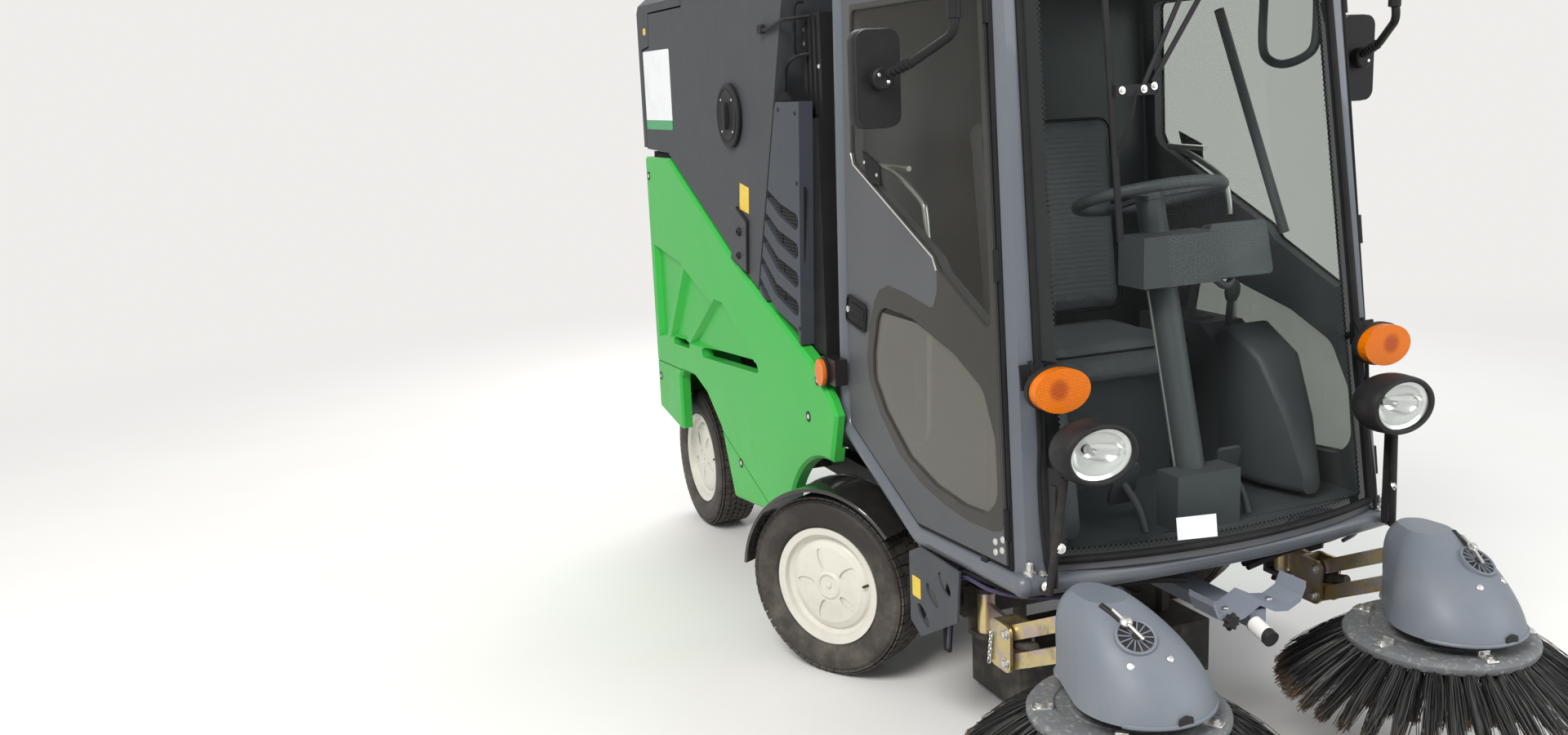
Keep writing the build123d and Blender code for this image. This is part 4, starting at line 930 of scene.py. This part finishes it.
# ---- Doors ----
# Grey pressed leaves under a smoked pane with a fired dark border and two clear windows. A recessed black
# latch lies behind it with a bright lock, domed bolts hold the hinges, and bright pull bars are fixed inside.
HINGE_LEAN, HINGE_BAND_X = 0.1097, 2.3436
door_paint = moulded("door_paint", (0.082, 0.084, 0.089), 0.42, "grey_paint", 900, 0.0001, 0.10, 0.9, **DEEP)
leaf = door_paint.mix((0.079, 0.081, 0.086), (0.087, 0.089, 0.094), door_paint.noise(3.5, 4))
front_edge = door_paint.axis("X") + (door_paint.axis("Z") - SILL_Z / 1000) * HINGE_LEAN
at_hinges = front_edge > (REAR_AXLE + HINGE_BAND_X)
door_paint.feed("Base Color", door_paint.mix(leaf, (0.012, 0.012, 0.013), at_hinges))
door_paint.dress("door_right", "door_left")
UPPER = ((1517, 1300), (1519, 926), (1538, 897), (1984, 694), (2020, 660), (2262, 546), (2179, 1300))
LOWER = (
    (1672, 497), (1700, 543), (1871, 532), (2082, 481), (2225, 418), (2285, 310), (2300, 170), (2250, 128),
    (2145, 120), (2002, 132), (1859, 171), (1721, 262), (1652, 340), (1650, 410),
)
PANE = (
    (1511, 1312), (1511, 935), (1531, 891), (1982, 688), (2003, 655), (2004, 614), (1985, 574), (1966, 570),
    (1832, 590), (1737, 597), (1687, 579), (1658, 547), (1628, 472), (1612, 391), (1626, 328), (1692, 250),
    (1805, 165), (1926, 119), (2051, 97), (2169, 88), (2279, 96), (2316, 107), (2326, 133), (2198, 1312),
)
TRIM = ((1516, 927), (1533, 896), (1982, 693), (2001, 663))
BRACKET, BRACKET_SCREWS = ((1586, 935), (1687, 901), (1694, 850), (1615, 855)), ((1598, 906), (1673, 876))
# Pull bars inside the leaf: radius, steps, points
BARS = (
    (8.5, 6, ((1600, 897), (1657, 886), (1740, 859), (1832, 816), (1851, 782), (1864, 718))),
    (7, 1, ((1606, 897), (1760, 894))),
    (8.5, 6, ((1874, 498), (1879, 370), (1877, 245), (1857, 210), (1804, 175))),
)
HINGE_BOLTS = ((2322, 88), (2320, 62), (2290, 74), (2292, 50))
LATCH, LATCH_SLANT = (1556, 501), math.radians(-9)


def softened(outline, radius, steps=6):
    """The outline with its corners rounded."""
    ring = []
    for i in range(len(outline)):
        before, here, after = (Vector(outline[j % len(outline)]) for j in (i - 1, i, i + 1))
        back, ahead = (before - here).normalized(), (after - here).normalized()
        half = back.angle(ahead) / 2
        middle = here + (back + ahead).normalized() * radius / math.sin(half)
        first, last = [here + way * radius / math.tan(half) - middle for way in (back, ahead)]
        ring += [middle + first.lerp(last, k / steps).normalized() * radius for k in range(steps + 1)]
    return ring


def on_latch(ring, out, sign):
    """Places on the latch, which lies at a slant on the leaf."""
    c, s = math.cos(LATCH_SLANT), math.sin(LATCH_SLANT)
    return on_cab_side([(LATCH[0] + a * c - b * s, LATCH[1] + a * s + b * c) for a, b in ring], out, sign)


fired = moulded("fired_border", (0.033, 0.031, 0.027), 0.14, "clear_glass", 500, 0.00003, 0.06, 0.9, **DEEP)
WINDOWS = (softened(UPPER, 20), softened(LOWER, 60))
for hand, sign in SIDES:
    out, body = Vector((0, sign * math.cos(LEAN), math.sin(LEAN))), f"door_{hand}"
    pane = Shape().sheet([on_cab_side(ring, 14.2, sign) for ring in (PANE, *WINDOWS)], out * 0.0008)
    for window in WINDOWS:
        pane.tube(on_cab_side(window, 10.5, sign), 3.8, 8, 1, closed=True)
    fitted(f"door_pane_{hand}", pane, body, fired)
    rim, well = rounded(0, 0, 64, 39, 15), rounded(0, 0, 57, 32, 10)
    rows = ((rim, 18), (rim, 22), (well, 23.5), (well, 20))
    beads = Shape().skin([on_latch(ring, lift, sign) for ring, lift in rows])
    beads.plate(on_latch(rounded(8, 8, 43, 14, 5), 20, sign), out * 0.003, 3)
    beads.plate(on_latch(rounded(8, -22, 43, 13, 5), 20, sign), out * 0.0006, 1)
    beads.plate(on_cab_side(BRACKET, 10, sign), out * 0.004, 2)
    fitted(f"door_beads_{hand}", beads, body, seal_rubber)
    shine = Shape().tube(on_cab_side(TRIM, 15, sign), 2.6, 8, 1)
    for radius, steps, bar in BARS:
        shine.tube(on_cab_side(bar, -35, sign), radius, 12, steps)
    shine.turned(on_latch([(-48, -2)], 20, sign)[0], out, ((0, 0), (9, 0), (9, 4), (6, 6), (0, 6)), 20)
    fitted(f"door_bars_{hand}", shine, body, bright)
    bolts = [facing(spot, out, 9) for spot in on_cab_side(HINGE_BOLTS, 14, sign)]
    bolts += [facing(spot, out, 5) for spot in on_cab_side(BRACKET_SCREWS, 14, sign)]
    dome_screw.place(f"door_bolts_{hand}", bolts, body, bright)

# ---- Mirrors ----
# Black shells on ribbed arms that swivel on a screwed knob, with the glass let into the rear face. A clip
# holds each arm to its door.
MIRROR_Y, MIRROR_Z = 687, 1658
# The shell's rim: place forward, half width, half height, corner radius
MIRROR_RIM = ((2070, 52, 106, 26), (2060, 56, 110, 29), (2032, 56, 110, 29), (2026, 52, 106, 26))
ARM_ROOT, ARM_TIP, ARM_END = (2180, 651, 1693), (2091, 681, 1664), (2073, 685, 1661)
black.dress("mirror_right", "mirror_left")
mirror_glass = Finish("mirror_glass", (0.82, 0.84, 0.85), 0.03, "black_plastic", Metallic=1.0)
mirror_glass.feed("Roughness", mirror_glass.band(mirror_glass.noise(9, 4), 0.4, 0.8) * 0.1 + 0.02)
for hand, sign in SIDES:
    y, body = sign * MIRROR_Y, f"door_{hand}"
    glass = Shape().plate(head_on(rounded(y, MIRROR_Z, 47, 101, 22), 2027), AHEAD * -0.002, 1)
    fitted(f"mirror_face_{hand}", glass, body, mirror_glass)
    ribs = Shape().turned(at(2091, y, MIRROR_Z), AHEAD, ((0, -2), (26, -2), (26, 4), (22, 8), (0, 9)), 28)
    ribs.skin([head_on(rounded(y, MIRROR_Z, *size), x) for x, *size in MIRROR_RIM], loop=True)
    root, tip, end = places((ARM_ROOT, ARM_TIP, ARM_END), sign)
    for t in (0.15, 0.3, 0.45, 0.6, 0.75):
        ribs.turned(root.lerp(tip, t), end - root, ((10, -3), (12.5, -1.5), (12.5, 1.5), (10, 3)), 16, loop=True)
    clip = ((9, -26), (15, -24), (15, 24), (9, 26))
    ribs.turned(at(2271, sign * 603, 1800), Vector((0.02, 0, 1)), clip, 18, loop=True)
    fitted(f"mirror_knob_{hand}", ribs, body, black)
    screws = [facing(at(2099, y + a, MIRROR_Z + b), AHEAD, 4.5) for a, b in ((-11, 8), (11, -8))]
    dome_screw.place(f"mirror_screws_{hand}", screws, body, bright)

# ---- Wiper ----
# Parallel arms in black steel, with bright nuts on their pivots, carry an upright blade. Its rubber lip
# lies on the glass.
BLADE_LIP = ((2383, -259, 1290), (2309, -253, 1832))
BLADE_ARM = ((2350, -200, 1610), (2362, -225, 1540), (2358, -256, 1470))
PIVOTS = ((2330, -36, 1862), (2330, 26, 1862), (2353, -183, 1611), (2353, -156, 1616), (2353, -240, 1610))
wipe = Shape().tube(places(BLADE_LIP), 3, 8, 1, flat=0.5).tube(places(BLADE_ARM), 4, 8, 5)
fitted("wiper_lip", wipe, "machine", seal_rubber)
hex_bolt.place("wiper_nuts", [facing(spot, (1, 0, 0.1), 6) for spot in places(PIVOTS)], "machine", bright)

# ---- Lamps ----
# Oval headlamps: a black pod, a silvered bowl in stepped facets, a capsule bulb under a chrome cap and a
# moulded bezel round the clear lens. The indicators and the beacon are ribbed orange plastic on black bases.
BOWL = (
    (58, -7), (56, -14), (50, -22), (42, -34), (32, -47), (21, -58), (10, -62), (9, -60), (20, -55.5),
    (31, -44.5), (40.5, -32), (47, -20), (48, -10), (57, -6),
)
BEZEL = ((56.5, -4), (57, 3), (61, 5), (66, 3), (69, -4), (70, -16), (67, -16), (58, -5))
BULB = ((0, 0), (9, 0), (9, 6), (6.5, 8), (6.5, 24), (8, 26), (8, 33), (5, 37), (0, 38))
LENS_RIM = ((47, -4), (52, -4), (52, 8), (49.5, 10), (47, 8))
MARKER_RIM = ((34, 0), (42, 0), (42, 5), (38, 7), (34, 5))
BEACON_RIM = ((52, -8), (66, -6), (66, 0), (62, 4), (52, 5))
# Shaded and lit copies of the amber: the dark one is painted shadow round the indicator lamps, the bright one is
# painted light through the lens
AMBER_SHADED_AND_LIT = (0.36, 0.055, 0.0), (0.70, 0.16, 0.0)
BULB_Y, BULB_Z, INDICATOR_BACK_X, MARKER_BASE_Y, BEACON_BASE_Z, RIBS = 0.462, 0.989, 2.416, 0.5725, 2.013, 1900.0
black.dress("headlamps")
silver = Finish("silvered_bowl", (0.84, 0.84, 0.82), 0.15, "clear_glass", Metallic=0.55)
silver.feed("Roughness", silver.noise(30, 3) * 0.1 + 0.1)
silver.bump(silver.noise(18, 2), 0.0004)
bowls, bezels, bulbs = Shape(), Shape(), Shape()
for sign in (-1, 1):
    middle = at(2537, sign * 416, 860)
    bowls.turned(middle, AHEAD, BOWL, 56, loop=True, flat=(1, 1.43))
    bezels.turned(middle, AHEAD, BEZEL, 64, loop=True, flat=(1, 1.38))
    bezels.turned(middle - AHEAD * 0.105, AHEAD, ((0, -2), (16, -2), (20, 2), (20, 8), (0, 8)), 20)
    bulbs.turned(middle - AHEAD * 0.058, AHEAD, BULB, 20)
    bezels.side_plate(rounded(2440, 660, 11, 118, 8), sign * 470, sign * 6, 2)
fitted("lamp_bowls", bowls, "machine", silver)
fitted("lamp_bezels", bezels, "machine", black)
fitted("lamp_bulbs", bulbs, "machine", bright)
LAMP_BOLTS = ((2462, -470, 640), (2440, -492, 549))
hex_bolt.place("lamp_bolts", both_sides(LAMP_BOLTS, (0.6, -0.4, 0.3), 8), "machine", bright)


def ribbed(name, base_of):
    """Prismatic lens plastic over a black base. Its amber is painted in a lit and a shaded copy: brighter as painted
    light through the lens, darker as the painted shadow round the indicator's lamp, with faint random tone.
    """
    lens = Finish(name, AMBER_SHADED_AND_LIT[0], 0.16, "amber", Coat_Weight=0.1, Specular_IOR_Level=0.2)
    across, above = lens.beside() - BULB_Y, lens.axis("Z") - BULB_Z
    # Painted shadow round the indicator's lamp: 0 at its place, rising to 1 farther off
    bulb_shadow = lens.band(across * across + above * above, 0.00008, 0.0009)
    amber_lit_and_shaded = lens.mix(*AMBER_SHADED_AND_LIT, bulb_shadow * 0.8 + lens.noise(12, 2) * 0.2)
    lens.feed("Base Color", lens.mix(amber_lit_and_shaded, (0.015, 0.015, 0.016), base_of(lens)))
    ribs = [lens.maths("SINE", lens.axis(a) * RIBS) for a in "YZ"]
    return lens.bump(ribs[0] * 0.5 + ribs[1] * 0.5, 0.0005)


def indicator_base(lens):
    return (lens.axis("X") < (REAR_AXLE + INDICATOR_BACK_X)) * (lens.beside() < MARKER_BASE_Y)


ribbed("amber_lens", indicator_base).dress("indicators")
ribbed("beacon_lens", lambda lens: lens.axis("Z") < BEACON_BASE_Z).dress("beacon")
rims = Shape()
for sign in (-1, 1):
    rims.turned(at(2412, sign * 452, 986), AHEAD, LENS_RIM, 48, loop=True, flat=(1, 1.43))
    rims.turned(at(1430, sign * 571, 862), LEFT * sign, MARKER_RIM, 40, loop=True, flat=(1, 0.8))
rims.turned(at(1760, 0, 2012), UP, BEACON_RIM, 40, loop=True)
fitted("lens_rims", rims, "machine", black)

# ---- Hydraulic lines ----
# Formed black pipes run from behind the step plates along the bumper, held in clips. One of them lies in
# violet sleeving.
LINES = (
    (
        (2035, -520, 250), (2050, -526, 290), (2066, -528, 370), (2086, -526, 440), (2140, -530, 492),
        (2240, -520, 500), (2330, -480, 500), (2372, -380, 498), (2396, -220, 500), (2402, -90, 480),
    ),
    (
        (2012, -516, 246), (2028, -524, 300), (2046, -530, 380), (2070, -530, 446), (2126, -524, 502),
        (2230, -508, 504), (2316, -466, 503), (2356, -370, 502), (2380, -220, 503), (2386, -90, 484),
    ),
)
SLEEVE = (
    (2058, -534, 270), (2078, -538, 350), (2096, -536, 430), (2150, -538, 484), (2260, -526, 486),
    (2345, -478, 489), (2382, -400, 489),
)
lines, sleeves = Shape(), Shape()
for sign in (1, -1):
    for line in LINES:
        lines.tube(places(line, sign), 7.5, 10, 6)
    for x, y in ((2240, -514), (2372, -372)):
        lines.plate([at(a, b, 511) for a, b in rounded(x, sign * y, 16, 22, 5)], UP * 0.055, 1)
    sleeves.tube(places(SLEEVE, sign), 5, 10, 6)
fitted("hydraulic_lines", lines, "machine", seal_rubber)
violet = moulded("violet_sleeve", (0.035, 0.028, 0.08), 0.4, "black_plastic", 300, 0.0002, 0.15, 0.8)
fitted("sleeved_lines", sleeves, "machine", violet)

# ---- Brush arms ----
# Parallel links, cheeks and pins in iridescent yellow zinc plate. Hex bolts hold every pin, and a keeper
# chain hangs from the inner cheek.
ROOT, HEAD, PIN_GAP = (2262, 372), (2505.5, 488.7), 73
SPRING = ((0, 0), (9, 0), (9, 6), (13, 8), (13, 118), (11, 122), (0, 122))
zinc = moulded("yellow_zinc", (0.56, 0.47, 0.27), 0.3, "zinc_plate", 200, 0.0002, 0.25, 0.8, Metallic=0.85)
hue = zinc.mix((0.62, 0.50, 0.24), (0.50, 0.40, 0.38), zinc.band(zinc.noise(18, 3), 0.42, 0.62))
sheen = zinc.mix(hue, (0.38, 0.46, 0.34), zinc.band(zinc.noise(31, 2), 0.58, 0.72))
grime = zinc.band(zinc.noise(12, 5, 0.7), 0.5, 0.75)
zinc.feed("Base Color", zinc.mix(sheen, (0.10, 0.085, 0.07), grime * 0.7))


def circle(tree, resolution, radius):
    sizes = {"Resolution": resolution, "Radius": radius}
    return tree.node("GeometryNodeCurvePrimitiveCircle", {"mode": "RADIUS"}, sizes)


chain = Pattern("chain_link", Wire=0.16)
ring = {0: circle(chain, 12, 0.5), 1: circle(chain, 6, chain.given["Wire"])}
chain.set_on_places(chain.node("GeometryNodeCurveToMesh", inputs=ring))
for hand, sign in SIDES:
    zinc.dress(*[f"{piece}_{hand}" for piece in ("arm_base", "upper_link", "lower_link", "brush_head")])
    for body, (x, z) in ((f"arm_{hand}", ROOT), (f"brush_head_{hand}", HEAD)):
        spots = []
        for drop in (0, PIN_GAP):
            for side in (-1, 1):
                spots.append(facing(at(x, sign * 460 + 33 * side, z - drop), LEFT * side, 10))
        hex_bolt.place(f"pin_bolts_{body}", spots, body, bright)
    spots = []
    for i in range(9):
        lay = basis(UP, AHEAD if i % 2 else LEFT).to_quaternion()
        spots.append((at(2206 - i * 1.2, sign * 498, 352 - i * 8.6), lay, (0.014, 0.009, 0.009)))
    chain.place(f"keeper_chain_{hand}", spots, f"arm_{hand}", bright)
    low, high = at(2222, sign * 460, 330), at(2452, sign * 460, 392)
    fitted(f"lift_spring_{hand}", Shape().turned(low, high - low, SPRING, 20), f"arm_{hand}", chassis_black)

# ---- Brush covers ----
# Teardrop covers moulded in blue-grey plastic over the brush motors, with a rolled foot, a dark slot, a round
# vent with radial vanes, an adjusting rod over it, and two domed screws.
cover_plastic = moulded("cover_moulding", (0.150, 0.170, 0.200), 0.42, "blue_grey_panel", 700, 0.0003, 0.12, 0.9)
cover_plastic.dress("brush_cover_right", "brush_cover_left")
# The cover's foot: place and radius of its large and its small circle
FOOT_BIG, FOOT_SMALL, FOOT_Z = (2702, -430, 145), (2552, -458, 71), 386
VENT_RIM = ((37, -3), (37, 3), (40, 4.5), (43, 3), (44, -5))
SLOT = ((2634, -485, 573.5), (2655, -479, 566), (2676, -473, 558), (2690, -470, 551))
NOTCH = ((-452, 385), (-416, 385), (-418, 402), (-434, 408), (-450, 402))
ROD = ((2664, -477, 572), (2700, -470, 556), (2742, -458, 532))
COVER_SCREWS = (((2759, -502, 490), (0.60, -0.41, 0.68)), ((2773, -416, 494), (0.63, 0.13, 0.76)))


def teardrop(big, small, z, steps=28):
    """The outline round a large and a small circle, as points."""
    (big_x, big_y, big_r), (small_x, small_y, small_r) = big, small
    gap = Vector((big_x - small_x, big_y - small_y))
    lean, spread = math.atan2(gap.y, gap.x), math.acos((big_r - small_r) / gap.length)
    ring = []
    for (x, y, r), start, sweep in ((big, lean - spread, spread), (small, lean + spread, math.pi - spread)):
        for i in range(steps + 1):
            turn = start + 2 * sweep * i / steps
            ring.append((x + r * math.cos(turn), y + r * math.sin(turn), z))
    return ring


vanes = Pattern("vent_vane", Thick=0.12)
vane = vanes.node("GeometryNodeMeshCube", inputs={"Size": vanes.vector(1.0, vanes.given["Thick"], 0.12)})
vanes.set_on_places(vane)
for hand, sign in SIDES:
    body, flip = f"brush_head_{hand}", -sign
    middle, normal = at(2722, flip * -463, 531), Vector((0.53, flip * -0.14, 0.835)).normalized()
    foot = Shape().tube(places(teardrop(FOOT_BIG, FOOT_SMALL, FOOT_Z), flip), 5, 8, 1, closed=True)
    foot.turned(middle, normal, VENT_RIM, 40, loop=True)
    fitted(f"cover_foot_{hand}", foot, body, cover_plastic)
    dark = Shape().turned(middle, normal, ((0, -9), (38, -7), (38, 0), (0, 0.8)), 36)
    dark.tube([spot - normal * 0.0035 for spot in places(SLOT, flip)], 7.5, 10, 4)
    dark.turned(middle, normal, ((0, 0), (9, 0), (9, 5), (6, 8), (0, 8)), 18)
    dark.plate(head_on([(flip * y, z) for y, z in NOTCH], 2846), AHEAD * 0.004, 1)
    fitted(f"cover_openings_{hand}", dark, body, black)
    first = normal.orthogonal().normalized()
    spots = []
    for spoke in spokes(14, first, normal.cross(first)):
        lay = basis(spoke, normal.cross(spoke)).to_quaternion()
        spots.append((middle + spoke * 0.0225 + normal * 0.0016, lay, (0.028, 0.022, 0.022)))
    vanes.place(f"vent_vanes_{hand}", spots, body, cover_plastic)
    rod = Shape().tube(places(ROD, flip), 4.2, 12, 3)
    rod.turned(at(2698, flip * -470, 552), normal, ((0, -4), (9, -4), (9, 4), (6, 7), (0, 7)), 12)
    fitted(f"adjuster_{hand}", rod, body, bright)
    screws = [facing(at(x, y * flip, z), (a, b * flip, c), 8.5) for (x, y, z), (a, b, c) in COVER_SCREWS]
    dome_screw.place(f"cover_screws_{hand}", screws, body, bright)
    hex_bolt.place(f"adjuster_nut_{hand}", [facing(at(2700, flip * -470, 557), normal, 9)], body, bright)

# ---- Centre rest ----
# A wave-shaped casting that parks the two brush heads, with domed screws, a star knob and a white roller
# that ends in a black cap.
ROLLER_X, ROLLER_Y, ROLLER_R, ROLLER_TOP, ROLLER_CAP_X = 2.548, -0.0115, 0.0235, 0.43, 2.592
rest_paint = moulded("rest_paint", (0.19, 0.215, 0.255), 0.45, "blue_grey_panel", 500, 0.0004, 0.2, 0.9)
near_roller = rest_paint.maths("ABSOLUTE", rest_paint.axis("Y") - ROLLER_Y) < ROLLER_R
roller = (rest_paint.axis("X") > (REAR_AXLE + ROLLER_X)) * near_roller * (rest_paint.axis("Z") < ROLLER_TOP)
cap = rest_paint.axis("X") > (REAR_AXLE + ROLLER_CAP_X)
casting = rest_paint.mix((0.17, 0.19, 0.225), (0.22, 0.245, 0.29), rest_paint.noise(6, 4))
white = rest_paint.mix(casting, (0.72, 0.71, 0.68), roller)
rest_paint.feed("Base Color", rest_paint.mix(white, (0.02, 0.02, 0.02), cap)).dress("centre_rest")
star = [at(2552, -86, 432) + spoke * (15, 21)[i % 2] / 1000 for i, spoke in enumerate(spokes(16, LEFT, UP))]
fitted("star_knob", Shape().plate(star, AHEAD * 0.014, 3), "machine", black)
dome_screw.place("rest_screws", [facing(at(2508, y, 443), UP, 9) for y in (-62, 62)], "machine", bright)


# ---- Side brushes ----
# Each brush is a worn grey disc with bolted clamps and two rows of stiff black tufts. The bristle tips are
# stained brown by the paving.
def tufts():
    """Bristles grown from each tuft's place: a bundle of bent, tapered wires that fan out a little."""
    tree = Pattern("tuft", Bristles=100, Thickness=0.0010, Bundle=0.0085, Fan=0.045, Seed=7)
    amount = {"Geometry": tree.given["Places"], "Amount": tree.given["Bristles"]}
    grown = tree.node("GeometryNodeDuplicateElements", {"domain": "POINT"}, amount, output="Geometry")

    def scaled(vector, scale):
        return tree.node("ShaderNodeVectorMath", {"operation": "SCALE"}, {0: vector, "Scale": scale})

    def scatter(reach, shift):
        """A random vector that reaches this far each way."""
        low, high = [scaled((way,) * 3, reach) for way in (-1, 1)]
        wanted = {0: low, 1: high, "Seed": tree.given["Seed"] + float(shift)}
        return tree.node("FunctionNodeRandomValue", {"data_type": "FLOAT_VECTOR"}, wanted)

    def turned(lay, angles):
        angles = tree.node("FunctionNodeEulerToRotation", inputs={0: angles})
        return tree.node("FunctionNodeRotateRotation", {"rotation_space": "LOCAL"}, {0: lay, 1: angles})

    bundle = {"Geometry": grown, "Offset": scatter(tree.given["Bundle"], 1)}
    moved = tree.node("GeometryNodeSetPosition", inputs=bundle)
    full_turn = {0: (0, 0, 0), 1: (0, 0, 6.283)}
    spin = tree.node("FunctionNodeRandomValue", {"data_type": "FLOAT_VECTOR"}, full_turn)
    lay = turned(turned(tree.field("turn", "QUATERNION"), scatter(tree.given["Fan"], 2)), spin)
    cut = tree.node("FunctionNodeRandomValue", {"data_type": "FLOAT"}, {2: 0.90, 3: 1.0, "Seed": 5}, output=1)
    trimmed = scaled(tree.field("scale", "FLOAT_VECTOR"), cut)
    bend = {"Resolution": 4, "Start": (0, 0, 0), "Middle": (0.02, 0, 0.5), "End": (0, 0, 1)}
    bent = tree.node("GeometryNodeCurveQuadraticBezier", inputs=bend)
    solid = {0: bent, 1: circle(tree, 3, tree.given["Thickness"]), "Fill Caps": True}
    wire = tree.node("GeometryNodeCurveToMesh", inputs=solid)
    return tree.set_on_places(wire, points=moved, turn=lay, scale=trimmed)


disc_plastic = moulded("worn_disc", (0.15, 0.155, 0.16), 0.6, "bristle", 300, 0.0006, 0.35, 0.6)
scuffs = disc_plastic.band(disc_plastic.noise(60, 6, 0.75), 0.5, 0.72)
disc_plastic.feed("Base Color", disc_plastic.mix((0.13, 0.135, 0.14), (0.34, 0.33, 0.31), scuffs))
bristle = Finish("bristle_wire", (0.014, 0.013, 0.012), 0.5, "bristle")
tip = bristle.band(bristle.axis("Z"), 0.25, 0.19)
stain = tip * bristle.band(bristle.noise(25, 4), 0.3, 0.7)
bristle.feed("Base Color", bristle.mix((0.013, 0.013, 0.013), (0.17, 0.10, 0.05), stain))
bristle.bump(bristle.noise(900, 2), 0.0001)
DISC = (
    (0, 361), (40, 361), (46, 354), (54, 352), (120, 351), (124, 348), (150, 348), (154, 352), (196, 352), (205, 349),
    (211, 341), (211, 333), (207, 325), (180, 324), (0, 324),
)
SOCKET = ((0, -4), (11, -4), (11, 6), (9.5, 10), (0, 10))
# Rows of tufts: radius at the root, lean, length, count, bristles in each tuft
TUFT_ROWS = ((188, 52, 212, 36, 140), (138, 30, 152, 24, 70))
CLAMP, CLAMP_HEEL = rounded(0, 0, 22, 15, 5), rounded(-17, 0, 5, 14, 2)
TUFT_Z, CLAMP_R, CLAMP_Z = 0.334, 0.18, 0.352


def leaning(radial, degrees):
    """Outwards and down, at this angle from straight down."""
    return radial * math.sin(math.radians(degrees)) - UP * math.cos(math.radians(degrees))


tuft = tufts()
for hand, sign, phase in (("right", -1, -111.6), ("left", 1, -159.0)):
    spindle, body = at(2656, sign * 433, 0), f"side_brush_{hand}"
    disc = Shape().turned(spindle, UP, DISC, 72)
    for radial in spokes(TUFT_ROWS[0][3], AHEAD, LEFT):
        root = spindle + radial * TUFT_ROWS[0][0] / 1000 + UP * TUFT_Z
        disc.turned(root, leaning(radial, TUFT_ROWS[0][1]), SOCKET, 10)
    fitted(f"brush_disc_{hand}", disc, body, disc_plastic, (f"side_brush_{hand}",))
    clamps, bolts = Shape(), []
    for radial in spokes(5, AHEAD, LEFT, phase / 72):
        across, middle = UP.cross(radial), spindle + radial * CLAMP_R + UP * CLAMP_Z
        for outline, lift, rise in ((CLAMP, 0.0, 0.004), (CLAMP_HEEL, 0.003, 0.012)):
            corners = [middle + (radial * a + across * b) / 1000 + UP * lift for a, b in outline]
            clamps.plate(corners, UP * rise, 1)
        bolts.append(facing(middle + UP * 0.004 + radial * 0.005, UP, 8))
    fitted(f"brush_clamps_{hand}", clamps, body, bright)
    hex_bolt.place(f"brush_bolts_{hand}", bolts, body, bright)
    for row, (root_r, lean, length, count, wires_each) in enumerate(TUFT_ROWS):
        spots = []
        for radial in spokes(count, AHEAD, LEFT):
            root = spindle + radial * root_r / 1000 + UP * TUFT_Z
            spots.append((root, leaning(radial, lean).to_track_quat("Z", "Y"), (1, 1, length / 1000)))
        tuft.place(f"tufts_{row}_{hand}", spots, body, bristle, crease=80, Bristles=wires_each)
